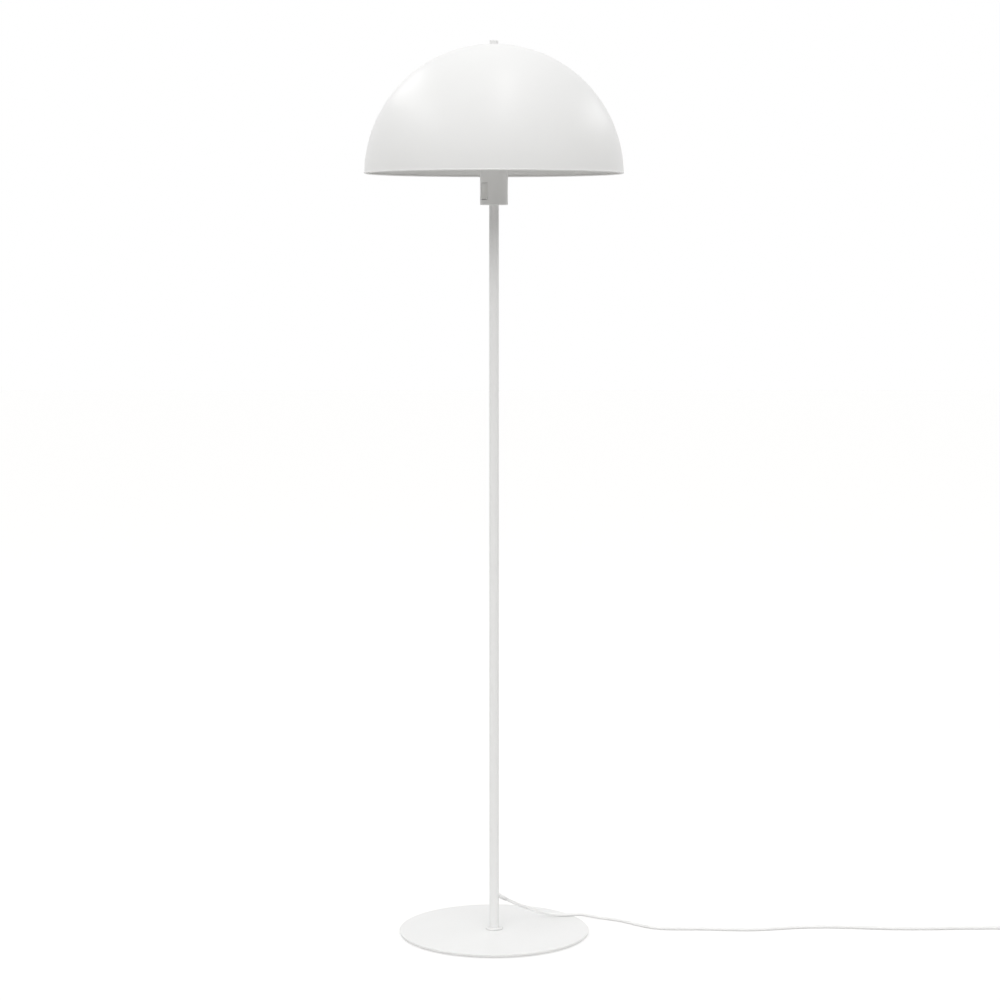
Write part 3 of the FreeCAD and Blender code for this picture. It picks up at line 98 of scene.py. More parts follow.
cordSettings = {
    "diameter": 5 * mm,
    "length": 1.885,
    "coilCentre": (0.866, 0.05485),
    "coilInner": 20 * mm,
    "coilTurnGap": 6.5 * mm,
    "coilLayer": 5.75 * mm,
    "halfTurnsIn": 5,
    "halfTurnsOut": 4.5,
    "pointsPerTurn": 16,
    "plug": (0.907625, 0.12885, 6.85 * mm),  # where the cord goes into the plug
    "tailFromCoil": [(0, 17, 0), (1.2, 31, -2.4)],  # mm from the coil's last point
    "tailToPlug": [(-1.4, -28, -1), (0, -14, 0), (0, 2, 0)],  # mm from the plug
}
cordRoute = [  # over the base, down its edge and along the floor, after the photograph
    tuple(exitPoint),
    tuple(exitPoint + exitDirection * 40 * mm),
    (0.0600, 0.0500, 0.0250),
    (0.0870, 0.0640, 0.0124),
    (0.1150, 0.0734, 0.0091),
    (0.1380, 0.0776, 0.0093),
    (0.1600, 0.0806, 0.0046),
    (0.1810, 0.0758, 0.0025),
    (0.2010, 0.0652, 0.0025),
    (0.2200, 0.0485, 0.0025),
    (0.2390, 0.0290, 0.0025),
    (0.2620, 0.0155, 0.0025),
    (0.2920, 0.0128, 0.0025),
    (0.3320, 0.0136, 0.0025),
    (0.3750, 0.0086, 0.0025),
    (0.4110, 0.0072, 0.0025),
    (0.4460, 0.0132, 0.0025),
    (0.4870, 0.0224, 0.0025),
    (0.5300, 0.0256, 0.0025),
    (0.5800, 0.0208, 0.0025),
    (0.6320, 0.0142, 0.0025),
    (0.6900, 0.0134, 0.0025),
    (0.7480, 0.0174, 0.0025),
    (0.8060, 0.0186, 0.0025),
]


def coilPoints():
    # a spiral in on the floor, half a turn up, and a spiral out on top: the radius changes by half a gap
    # in each half turn, and a control point stands out a little so that the spline keeps the radius
    c = cordSettings
    inEnd = c["halfTurnsIn"] * math.pi
    outStart = inEnd + math.pi
    outEnd = outStart + c["halfTurnsOut"] * math.pi
    step = 2 * math.pi / c["pointsPerTurn"]
    angles = np.append(np.arange(step / 2, outEnd, step), outEnd)
    gapPerRadian = c["coilTurnGap"] / 2 / math.pi
    away = np.maximum(inEnd - angles, 0) + np.maximum(angles - outStart, 0)
    radius = (c["coilInner"] + gapPerRadian * away) / math.cos(step / 2)
    rise = np.clip((angles - inEnd) / math.pi, 0, 1)
    height = c["diameter"] / 2 + c["coilLayer"] * rise * rise * (3 - 2 * rise)
    x = c["coilCentre"][0] + radius * np.sin(angles)
    y = c["coilCentre"][1] - radius * np.cos(angles)
    return np.column_stack([x, y, height])


def makeCord():
    # one NURBS spline: its points are the listed route, the coil's turns and the tail
    c = cordSettings
    coil = coilPoints()
    tail = [Vector(coil[-1]) + Vector(offset) * mm for offset in c["tailFromCoil"]]
    tail += [Vector(c["plug"]) + Vector(offset) * mm for offset in c["tailToPlug"]]
    points = [tuple(point) for point in (*cordRoute, *coil, *tail)]
    curve = bpy.data.curves.new("powerCord", "CURVE")
    curve.dimensions = "3D"
    curve.bevel_depth = 1.0  # the points' own radius is the cord's
    curve.bevel_resolution = 5
    curve.resolution_u = 8
    curve.use_fill_caps = True
    spline = curve.splines.new("NURBS")
    spline.points.add(len(points) - 1)
    for point, place in zip(spline.points, points):
        point.co = (*place, 1)
        point.radius = c["diameter"] / 2
    spline.order_u = 3
    spline.use_endpoint_u = True
    cord = bpy.data.objects.new("powerCord", curve)
    scene.collection.objects.link(cord)
    return cord


cord = makeCord()
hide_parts("cord", "cord_coil", "cord_tail")
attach(cord, "stand")
print("cord laid")


# surfaces

meshSettings = {
    "mergeDistance": 1e-7,  # metres
    "smallestFace": 1e-14,  # square metres, under which a face at a pole has come to nothing
}


def meshFromGrid(name, grid, closedAlong=False):
    # grid[i, j] is a point: i runs along the shape and j once round it, and the faces' outside is on the
    # right of i when j runs anticlockwise
    rows, columns = grid.shape[:2]
    index = np.arange(rows * columns).reshape(rows, columns)
    down = index if closedAlong else index[:-1]
    up = np.roll(index, -1, axis=0) if closedAlong else index[1:]
    downNext, upNext = np.roll(down, -1, axis=1), np.roll(up, -1, axis=1)
    faces = np.stack([down, downNext, upNext, up], axis=-1).reshape(-1, 4)
    mesh = bpy.data.meshes.new(name)
    mesh.from_pydata(grid.reshape(-1, 3).tolist(), [], faces.tolist())
    mesh.update()
    obj = bpy.data.objects.new(name, mesh)
    scene.collection.objects.link(obj)
    return obj


def finishMesh(obj, smoothAngle=35):
    # the poles of a turned shape are one point many times over: they are merged, and the shape is closed
    bm = bmesh.new()
    bm.from_mesh(obj.data)
    bmesh.ops.remove_doubles(bm, verts=bm.verts, dist=meshSettings["mergeDistance"])
    empty = [face for face in bm.faces if face.calc_area() < meshSettings["smallestFace"]]
    bmesh.ops.delete(bm, geom=empty, context="FACES")
    bmesh.ops.recalc_face_normals(bm, faces=bm.faces)
    bm.to_mesh(obj.data)
    bm.free()
    obj.data.polygons.foreach_set("use_smooth", [True] * len(obj.data.polygons))
    obj.data.set_sharp_from_angle(angle=math.radians(smoothAngle))
    return obj


def turned(name, profile, segments, start=(0, 0, 0), axis=(0, 0, 1)):
    # a closed profile of (radius, distance along the axis) turned once about the axis
    profile = np.array(profile)
    along = Vector(axis).normalized()
    side = along.orthogonal().normalized()
    other = along.cross(side)
    theta = np.linspace(0, 2 * math.pi, segments, endpoint=False)
    ring = np.cos(theta)[:, None] * np.array(side) + np.sin(theta)[:, None] * np.array(other)
    grid = np.array(start) + profile[:, 1, None, None] * np.array(along) + profile[:, 0, None, None] * ring
    return finishMesh(meshFromGrid(name, grid, closedAlong=True))


def arcPoints(centre, radius, startDegrees, endDegrees, count):
    # points on a circle from one angle to another
    t = np.radians(np.linspace(startDegrees, endDegrees, count))
    return np.column_stack([centre[0] + radius * np.cos(t), centre[1] + radius * np.sin(t)])


def aroundAxis(radius, height, theta):
    # a grid round the lamp's own axis: radius[i, j] at height[i] and angle theta[j]
    x, y, z = np.broadcast_arrays(radius * np.cos(theta), radius * np.sin(theta), height[:, None])
    return np.stack([x, y, z], axis=-1)


def settle(piece, body, slot, *replaced):
    # puts a finished piece on its body, in place of its CAD nodes
    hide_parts(*replaced)
    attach(piece, body)
    return piece


# strain relief

def makeRelief():
    # a cone with round grooves: the radius falls evenly, less the cube of a raised cosine at each groove
    r = reliefSettings
    along = np.linspace(0, r["length"], r["rows"])
    share = along / r["length"]
    cone = r["rootRadius"] + (r["tipRadius"] - r["rootRadius"]) * share
    grooved = np.clip((share - r["groovesFrom"]) / r["groovesRun"], 0, 1)
    wave = 0.5 - 0.5 * np.cos(2 * math.pi * r["grooves"] * grooved)
    radius = cone - r["grooveDepth"] * wave ** 3
    bore = cordSettings["diameter"] / 2 - r["squeeze"]
    profile = np.vstack([
        [[bore, -r["buried"]], [r["rootRadius"], -r["buried"]]],
        np.column_stack([radius, along]),
        arcPoints((r["tipRadius"] - r["tipEdge"], r["length"]), r["tipEdge"], 0, 90, 6),
        [[bore, r["length"] + r["tipEdge"]]],
    ])
    relief = turned("strainRelief", profile, r["segments"], exitPoint, exitDirection)
    settle(relief, "stand", "white_cord", "cord_bushing")


makeRelief()


# plug

plugSettings = {
    "stations": [0, 22, 26, 36, 47, 56, 59],  # mm along the plug, from the cord to the pins' face
    "halfWidths": [3.1, 4.8, 6.5, 11.4, 15.0, 13.6, 12.4],
    "halfHeights": [3.1, 4.6, 5.5, 6.7, 6.8, 6.6, 6.0],
    "squareness": [2.0, 2.0, 2.4, 3.2, 3.6, 3.6, 3.4],  # 2 is an ellipse
    "reliefGrooves": 6,
    "reliefFrom": 3,  # mm along the plug
    "reliefRun": 17,
    "reliefDepth": 0.7,
    "gripGrooves": 7,
    "gripFrom": 31,
    "gripRun": 15,
    "gripDepth": 0.35,
    "rows": 220,
    "segments": 96,
}


def smoothCurve(x, xs, ys):
    # a curve through stations: between two of them a cubic that has their values and their slopes, where a
    # station's slope is that of the stretches on its two sides
    xs, ys = np.array(xs, float), np.array(ys, float)
    slopes = np.gradient(ys, xs)
    k = np.clip(np.searchsorted(xs, x, side="right") - 1, 0, len(xs) - 2)
    width = xs[k + 1] - xs[k]
    t = (x - xs[k]) / width
    return (
        (2 * t**3 - 3 * t**2 + 1) * ys[k] + (t**3 - 2 * t**2 + t) * width * slopes[k]
        + (3 * t**2 - 2 * t**3) * ys[k + 1] + (t**3 - t**2) * width * slopes[k + 1]
    )


def makePlug():
    # superellipse sections along the plug: |x/a|^n + |z/b|^n = 1, with a, b and n eased between stations;
    # a and b dip at the relief's grooves, and x alone at the grip's, most at the middle of its two sides
    p = plugSettings
    along = np.linspace(0, p["stations"][-1], p["rows"])
    a = smoothCurve(along, p["stations"], p["halfWidths"])
    b = smoothCurve(along, p["stations"], p["halfHeights"])
    n = smoothCurve(along, p["stations"], p["squareness"])
    share = np.clip((along - p["reliefFrom"]) / p["reliefRun"], 0, 1)
    groove = p["reliefDepth"] * (0.5 - 0.5 * np.cos(2 * math.pi * p["reliefGrooves"] * share)) ** 2
    a, b = a - groove, b - groove
    share = np.clip((along - p["gripFrom"]) / p["gripRun"], 0, 1)
    grip = p["gripDepth"] * np.sin(math.pi * p["gripGrooves"] * share) ** 2
    theta = np.linspace(0, 2 * math.pi, p["segments"], endpoint=False)
    c, s = np.cos(theta), np.sin(theta)
    exponent = (2 / n)[:, None]
    x = a[:, None] * np.sign(c) * np.abs(c) ** exponent
    z = b[:, None] * np.sign(s) * np.abs(s) ** exponent
    x = x - np.sign(x) * grip[:, None] * np.abs(c) ** 6
    x, y, z = np.broadcast_arrays(x, along[:, None], z)
    grid = np.stack([x, y, z], axis=-1)
    first, last = np.zeros_like(grid[:1]), np.zeros_like(grid[:1])  # the middles of its two ends
    last[..., 1] = along[-1]
    grid = np.concatenate([first, grid, last]) * mm + np.array(cordSettings["plug"])
    plug = finishMesh(meshFromGrid("plugMoulding", grid), 50)
    return settle(plug, "stand", "white_cord", "plug_body")


plug = makePlug()
print("relief and plug moulded")


# threads

threadSettings = {
    "capRadius": 13.15 * mm,
    "capPitch": 3.63 * mm,
    "capDepth": 0.5 * mm,
    "capWall": 0.25 * mm,
    "capPlain": 1.6 * mm,  # the plain band at each end
    "shellPlain": 0.6 * mm,
    "fade": 1.2 * mm,  # the thread grows to its full depth over this height
    "capRows": 110,
    "capSegments": 96,
    "studRadius": 3 * mm,
    "studPitch": 1.0 * mm,
    "studDepth": 0.3 * mm,
    "studSharpness": 0.8,  # under 1 the crests and roots are flatter than a sine's
    "studPoint": 0.7 * mm,
    "studPointShare": 0.8,  # the point's radius as a share of the thread's
    "studRows": 160,
    "studSegments": 48,
}


def threadWave(height, theta, pitch, sharpness=1.0):
    # a right-hand helix: the wave's phase climbs one pitch for each turn
    wave = np.cos(2 * math.pi * height / pitch - theta)
    return np.sign(wave) * np.abs(wave) ** sharpness


def threadedShell(name, bottom, top, outerRadius, plain):
    # a thin rolled shell: both faces follow the same wave, which fades to plain bands at the ends
    t = threadSettings
    height = np.linspace(bottom, top, t["capRows"])
    theta = np.linspace(0, 2 * math.pi, t["capSegments"], endpoint=False)
    fadeLow = np.clip((height - bottom - plain) / t["fade"], 0, 1)
    fadeHigh = np.clip((top - plain - height) / t["fade"], 0, 1)
    wave = threadWave(height[:, None], theta, t["capPitch"]) * (fadeLow * fadeHigh)[:, None]
    outer = outerRadius - t["capDepth"] + t["capDepth"] * wave
    radius = np.concatenate([outer, (outer - t["capWall"])[::-1]])
    grid = aroundAxis(radius, np.concatenate([height, height[::-1]]), theta)
    return finishMesh(meshFromGrid(name, grid, closedAlong=True), 60)


def makeScrewShells():
    t = threadSettings
    low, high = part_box("bulb_cap")
    cap = threadedShell("bulbCapThread", low.z, high.z, t["capRadius"], t["capPlain"])
    settle(cap, "bulb", "plated_steel", "bulb_cap")
    low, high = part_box("screw_shell")
    shell = threadedShell("screwShellThread", low.z, high.z, high.x, t["shellPlain"])
    settle(shell, "stand", "brass", "screw_shell")


def makeStud():
    # a plain shoulder, then a helix cut into a cylinder, whose radius shrinks over the last stretch
    t = threadSettings
    low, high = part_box("shade_stud")
    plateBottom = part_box("harp_plate")[0].z
    height = np.linspace(plateBottom, high.z, t["studRows"])
    theta = np.linspace(0, 2 * math.pi, t["studSegments"], endpoint=False)
    wave = 0.5 + 0.5 * threadWave(height[:, None], theta, t["studPitch"], t["studSharpness"])
    full = np.clip((high.z - height) / t["studPoint"], 0, 1)[:, None]
    pointShare = t["studPointShare"]
    thread = (t["studRadius"] - t["studDepth"] * (1 - wave)) * (pointShare + (1 - pointShare) * full)
    thread[0] = t["studRadius"]
    middle = np.zeros((1, t["studSegments"]))
    shoulder = np.full((2, t["studSegments"]), high.x)
    radius = np.concatenate([middle, shoulder, thread, middle])
    grid = aroundAxis(radius, np.array([low.z, low.z, plateBottom, *height, high.z]), theta)
    stud = finishMesh(meshFromGrid("studThread", grid), 50)
    settle(stud, "stand", "plated_steel", "shade_stud")


makeScrewShells()
makeStud()
print("threads cut")


# shade and base plate

shadeSettings = {
    "radius": 200 * mm,
    "wall": 1.0 * mm,
    "flatRadius": 13 * mm,
    "innerFlat": 0.6,  # the flat's radius on the inside, as a share of the outside's
    "holeRadius": 3.5 * mm,
    "beadRadius": 1.45 * mm,
    "beadProud": 0.5 * mm,  # the rolled rim stands out a little past the dome
    "beadRise": 3.85 * mm,  # over the dome's centre
    "meetGap": 0.05,  # degrees left between the dome's arcs and the bead's circle
    "domeRows": 120,
    "beadRows": 36,
}
discSegments = 256


def makeShade():
    # the spun dome: outer arc, the rolled bead's circle from where the dome meets it, and the inner arc back
    d = shadeSettings
    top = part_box("shade")[1].z
    centre = (0, top - math.sqrt(d["radius"] ** 2 - d["flatRadius"] ** 2))
    outerRim = math.sqrt(d["radius"] ** 2 - d["beadRise"] ** 2)
    bead = (outerRim - d["beadRadius"] + d["beadProud"], centre[1] + d["beadRise"])
    outerMeet = math.acos((outerRim - bead[0]) / d["beadRadius"])
    innerMeet = math.acos((outerRim - d["wall"] - bead[0]) / d["beadRadius"]) - 2 * math.pi
    innerRadius = d["radius"] - d["wall"]
    outerRise = d["beadRise"] + d["beadRadius"] * math.sin(outerMeet)
    outerEnd = math.degrees(math.asin(outerRise / d["radius"])) + d["meetGap"]
    innerEnd = math.degrees(math.asin((d["beadRise"] + d["beadRadius"]) / innerRadius)) + d["meetGap"]
    flatAngle = math.degrees(math.acos(d["flatRadius"] / d["radius"]))
    under = top - d["wall"]
    profile = np.vstack([
        [[d["holeRadius"], top]],
        arcPoints(centre, d["radius"], flatAngle, outerEnd, d["domeRows"]),
        arcPoints(bead, d["beadRadius"], math.degrees(outerMeet), math.degrees(innerMeet), d["beadRows"]),
        arcPoints(centre, innerRadius, innerEnd, flatAngle, d["domeRows"]),
        [[d["flatRadius"] * d["innerFlat"], under], [d["holeRadius"], under]],
    ])
    shade = turned("spunShade", profile, discSegments)
    settle(shade, "stand", "white_coat", "shade")


plateSettings = {
    "radius": 150 * mm,
    "topEdge": 1.0 * mm,
    "lowerEdge": 2.4 * mm,
    "hole": 4.2 * mm,
    "sink": 8.1 * mm,  # the countersink's radius
    "sinkWall": 0.57 * mm,  # its straight part, up from the underside
    "sinkTop": 4.47 * mm,  # where its cone meets the hole
}


def makePlate():
    # a cut steel disc: a small radius over its edge and a larger one under it, and a countersunk hole
    d = plateSettings
    low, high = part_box("base_plate")
    top, bottom = high.z, low.z
    upperCentre = (d["radius"] - d["topEdge"], top - d["topEdge"])
    lowerCentre = (d["radius"] - d["lowerEdge"], bottom + d["lowerEdge"])
    profile = np.vstack([
        [[d["hole"], top]],
        arcPoints(upperCentre, d["topEdge"], 90, 0, 8),
        arcPoints(lowerCentre, d["lowerEdge"], 0, -90, 12),
        [[d["sink"], bottom], [d["sink"], bottom + d["sinkWall"]], [d["hole"], bottom + d["sinkTop"]]],
    ])
    plate = turned("steelPlate", profile, discSegments)
    settle(plate, "stand", "white_coat", "base_plate")


makeShade()
makePlate()
print("shade spun, plate cut")


# small radii on the moulded and stamped pieces

softSettings = {
    "mergeDistance": 1e-6,  # metres
    "flatAngle": 0.6,  # degrees, under which two faces are one
    "edgeAngle": 32,  # degrees, over which an edge is rounded
    "segments": 2,
}
softEdges = {  # node: (piece, radius in mm, body, slot)
    "rocker": ("rockerSoft", 0.35, "rocker", "white_gloss"),
    "switch_frame": ("switchFrameSoft", 0.2, "stand", "white_gloss"),
    "harp_foot": ("harpFootSoft", 0.2, "stand", "plated_steel"),
    "harp_plate": ("harpPlateSoft", 0.3, "stand", "plated_steel"),
    "shade_ring": ("shadeRingSoft", 0.25, "stand", "white_moulding"),
    "holder_shell": ("holderShellSoft", 0.3, "stand", "white_moulding"),
    "pole_collar": ("poleCollarSoft", 0.9, "stand", "white_coat"),
}


def makeSoftEdge(node, name, radius, body, slot):
    # a copy of a CAD node with its flat faces merged and its sharp edges rounded to a small radius
    s = softSettings
    mesh = nodes[node].data.copy()
    mesh.name = name
    bm = bmesh.new()
    bm.from_mesh(mesh)
    bmesh.ops.remove_doubles(bm, verts=bm.verts, dist=s["mergeDistance"])
    bmesh.ops.dissolve_limit(bm, angle_limit=math.radians(s["flatAngle"]), verts=bm.verts, edges=bm.edges)
    bm.to_mesh(mesh)
    bm.free()
    mesh.materials.clear()
    piece = bpy.data.objects.new(name, mesh)
    scene.collection.objects.link(piece)
    mesh.polygons.foreach_set("use_smooth", [True] * len(mesh.polygons))
    edge = piece.modifiers.new("softEdge", "BEVEL")
    edge.width = radius * mm
    edge.segments = s["segments"]
    edge.limit_method = "ANGLE"
    edge.angle_limit = math.radians(s["edgeAngle"])
    edge.harden_normals = True
    settle(piece, body, slot, node)


for node, softEdge in softEdges.items():
    makeSoftEdge(node, *softEdge)
print("edges softened:", len(softEdges))


# materials

patternSettings = {
    "driftDetail": 2.0,
    "driftSpan": (0.3, 0.7),  # the part of the noise over which the colour goes from dark to light
    "grainDetail": 3.0,
    "grainRoughness": 0.55,
    "roughnessSpan": (0.9, 1.1),  # shares of the material's own roughness
}
finishes = {  # drift is the share by which the colour darkens; grain is the bump's height; sizes are in mm
    "powderCoat": {  # baked polyester powder coat on steel: satin, with powder's low orange peel
        "colour": "#EFEFEE", "drift": 0.012, "driftSize": 90,
        "roughness": 0.31, "grain": 0.012, "grainSize": 1.6,
        "shader": {"IOR": 1.5},
        "pieces": ["steelPlate", "pole", "poleCollarSoft", "socket_cup", "spunShade", "finial"],
    },
    "softPvc": {  # plasticised PVC of cord, relief and plug: softer and more matt than the paint
        "colour": "#F4F4F3", "drift": 0.02, "driftSize": 30,
        "roughness": 0.5, "grain": 0.01, "grainSize": 0.5,
        "shader": {
            "IOR": 1.53, "Subsurface Weight": 0.6, "Subsurface Radius": (1, 1, 1),
            "Subsurface Scale": 2 * mm,
        },
        "pieces": ["powerCord", "strainRelief", "plugMoulding", "inner_lead"],
    },
    "rockerAbs": {  # polished ABS moulding of the rocker and its frame
        "colour": "#ECECEA", "drift": 0.008, "driftSize": 20,
        "roughness": 0.24, "grain": 0.002, "grainSize": 0.8,
        "shader": {"IOR": 1.54},
        "pieces": ["rockerSoft", "switchFrameSoft"],
    },
    "holderPbt": {  # glass-filled PBT of the lampholder: matt, with a fine flow grain
        "colour": "#E4E3DF", "drift": 0.03, "driftSize": 15,
        "roughness": 0.45, "grain": 0.008, "grainSize": 0.4,
        "shader": {"IOR": 1.57},
        "pieces": ["holder_base", "holderShellSoft", "holder_core", "shadeRingSoft", "bulb_housing"],
    },
    "opalGlobe": {  # opal polycarbonate of the bulb's globe: an even milky white under a soft gloss
        "colour": "#F1F0EC", "drift": 0.01, "driftSize": 25,
        "roughness": 0.38, "grain": 0.004, "grainSize": 0.6,
        "shader": {"IOR": 1.58},
        "pieces": ["bulb_globe"],
    },
    "zincPlate": {  # bright zinc plating on steel: cool and shiny, a little cloudy
        "colour": "#C3C5C8", "drift": 0.08, "driftSize": 8,
        "roughness": 0.28, "grain": 0.004, "grainSize": 0.5,
        "shader": {"Metallic": 1.0},
        "pieces": [
            "foot_screw", "foot_insert", "top_insert", "threaded_nipple", "cup_washer", "cup_nut",
            "terminal_screws", "switch_spring", "harp_arm_left", "harp_arm_right", "harpPlateSoft",
            "harpFootSoft", "studThread",
        ],
    },
    "nickelCap": {  # nickel-plated aluminium of the bulb's cap, and the plug's pins: warmer and smoother
        "colour": "#CBC8C2", "drift": 0.06, "driftSize": 10,
        "roughness": 0.2, "grain": 0.002, "grainSize": 0.6,
        "shader": {"Metallic": 1.0},
        "pieces": ["bulbCapThread", "bulb_tip", "plug_pins"],
    },
    "drawnBrass": {  # plain drawn brass: yellow, with a fine drawn surface
        "colour": "#D9B565", "drift": 0.1, "driftSize": 6,
        "roughness": 0.26, "grain": 0.003, "grainSize": 0.4,
        "shader": {"Metallic": 1.0},
        "pieces": [
            "terminal_blocks", "screwShellThread", "centre_contact", "side_contact", "contact_bridge",
            "line_contact", "load_contact",
        ],
    },
    "capGlass": {  # black vitrified glass round the bulb's tip: glossy
        "colour": "#0E0E10", "drift": 0.2, "driftSize": 5,
        "roughness": 0.12, "grain": 0.002, "grainSize": 0.5,
        "shader": {"IOR": 1.5},
        "pieces": ["bulb_insulator"],
    },
    "padFoam": {  # grey EVA foam of the pads and washers: matt, with fine cells
        "colour": "#A9A9A6", "drift": 0.08, "driftSize": 8,
        "roughness": 0.75, "grain": 0.03, "grainSize": 0.35,
        "shader": {"IOR": 1.45},
        "pieces": ["base_pads", "shade_washer", "finial_washer"],
    },
    "blackNylon": {  # black nylon of the pins' sleeves and the plunger
        "colour": "#1A1A1B", "drift": 0.15, "driftSize": 5,
        "roughness": 0.4, "grain": 0.004, "grainSize": 0.3,
        "shader": {"IOR": 1.53},
        "pieces": ["pin_sleeves", "switch_plunger"],
    },
    "brownCore": {  # PVC insulation of the live cores
        "colour": "#5B3420", "drift": 0.08, "driftSize": 5,
        "roughness": 0.45, "grain": 0.003, "grainSize": 0.4,
        "shader": {"IOR": 1.53},
        "pieces": ["line_core", "switched_core"],
    },
    "blueCore": {  # the same on the neutral core
        "colour": "#1E4F9A", "drift": 0.08, "driftSize": 5,
        "roughness": 0.45, "grain": 0.003, "grainSize": 0.4,
        "shader": {"IOR": 1.53},
        "pieces": ["neutral_core"],
    },
}


def linear(hexColour):
    # an sRGB hex colour as the linear numbers that the shader wants
    values = [int(hexColour[i:i + 2], 16) / 255 for i in (1, 3, 5)]
    return (*[v / 12.92 if v <= 0.04045 else ((v + 0.055) / 1.055) ** 2.4 for v in values], 1)


def addNode(tree, kind, inputs=None, links=None, **settings):
    # adds a node, sets its properties and input values, and links other nodes' outputs to its inputs
    node = tree.nodes.new(kind)
    for key, value in settings.items():
        setattr(node, key, value)
    for key, value in (inputs or {}).items():
        node.inputs[key].default_value = value
    for key, (source, output) in (links or {}).items():
        tree.links.new(source.outputs[output], node.inputs[key])
    return node


def surfaceMaterial(name, look):
    # the shared build: a main colour that drifts a little over some centimetres, a roughness that varies
    # with the grain, and a bump of that grain
    p = patternSettings
    material = bpy.data.materials.new(name)
    material.use_nodes = True
    tree = material.node_tree
    tree.nodes.clear()
    place = addNode(tree, "ShaderNodeTexCoord")
    drift = addNode(
        tree, "ShaderNodeTexNoise", {"Scale": 1 / (look["driftSize"] * mm), "Detail": p["driftDetail"]},
        {"Vector": (place, "Object")},
    )
    lighter = linear(look["colour"])
    darker = tuple(v * (1 - look["drift"]) for v in lighter[:3]) + (1,)
    tint = addNode(tree, "ShaderNodeValToRGB", links={"Fac": (drift, "Fac")})
    for element, position, colour in zip(tint.color_ramp.elements, p["driftSpan"], (darker, lighter)):
        element.position = position
        element.color = colour
    speckle = addNode(
        tree, "ShaderNodeTexNoise",
        {"Scale": 1 / (look["grainSize"] * mm), "Detail": p["grainDetail"], "Roughness": p["grainRoughness"]},
        {"Vector": (place, "Object")},
    )
    smoothest, roughest = [look["roughness"] * share for share in p["roughnessSpan"]]
    rough = addNode(
        tree, "ShaderNodeMapRange", {"To Min": smoothest, "To Max": roughest}, {"Value": (speckle, "Fac")},
    )
    bump = addNode(
        tree, "ShaderNodeBump", {"Strength": 1.0, "Distance": look["grain"] * mm},
        {"Height": (speckle, "Fac")},
    )
    surface = addNode(
        tree, "ShaderNodeBsdfPrincipled", look["shader"],
        {"Base Color": (tint, "Color"), "Roughness": (rough, "Result"), "Normal": (bump, "Normal")},
    )
    addNode(tree, "ShaderNodeOutputMaterial", links={"Surface": (surface, "BSDF")})
    return material


def paint(obj, material):
    # a CAD node keeps its mesh's own slots, so the material goes to the object's
    if obj.material_slots:
        for slot in obj.material_slots:
            slot.link = "OBJECT"
            slot.material = material
    else:
        obj.data.materials.append(material)


def paintAll():
    for finish, look in finishes.items():
        material = surfaceMaterial(finish, look)
        for name in look["pieces"]:
            paint(nodes[name] if name in nodes else scene.objects[name], material)


paintAll()
print("materials made:", len(finishes))


# studio

studioSettings = {
    "floorSize": 30.0,
    "floorColour": "#D4D3D1",  # what the lamp is lit by from below
    "floorShadow": 0.5,  # share of the floor's real shade that the camera sees under the white
    "floorLevel": 0.55,  # that shade round the lamp: the sum comes to white, and darker in the lamp's shadow
    "sky": {  # side: (towards it, strength near the horizon, strength half way up)
        "front": ((0, -1, 0), 0.06, 2.62),  # behind the camera: a dark room below, a bright ceiling above
        "back": ((0, 1, 0), 0.32, 0.1),
        "left": ((-1, 0, 0), 0.1, 1.5),
        "right": ((1, 0, 0), 0.06, 1.5),
    },
    "skyOverhead": 0.42,
    "skyBands": (0.2, 0.5, 0.6, 0.9),  # sines of the heights between which the bands blend
    "strips": [  # middle, aims at, direction of the long side, length, width, watts, spread in degrees
        ((-2.2, 0.8, 3.3), (0, 0, 1.3), (0, 1, 0.1), 5.4, 0.8, 18, 180),  # along the left wall
        ((0.4, -1.0, 3.9), (0.1, -0.4, 1.3), (0, 1, 0), 3.0, 0.4, 9.5, 180),  # overhead
        ((2.3, 1.5, 2.6), (0, 0, 1.3), (0, 1, 0), 2.2, 0.6, 5.2, 180),  # behind, on the right
        ((-0.2, -0.5, 1.15), (0, -0.03, 0), (1, 0, 0), 0.4, 0.3, 0.1, 60),  # a small lift on the base alone
    ],
}


def cameraShare(tree):
    # 1 for rays that show the background: in the camera, in gloss and through glass
    rays = addNode(tree, "ShaderNodeLightPath")
    seen = addNode(
        tree, "ShaderNodeMath", links={0: (rays, "Is Camera Ray"), 1: (rays, "Is Glossy Ray")},
        operation="MAXIMUM",
    )
    return addNode(
        tree, "ShaderNodeMath", links={0: (seen, 0), 1: (rays, "Is Transmission Ray")}, operation="MAXIMUM",
    )


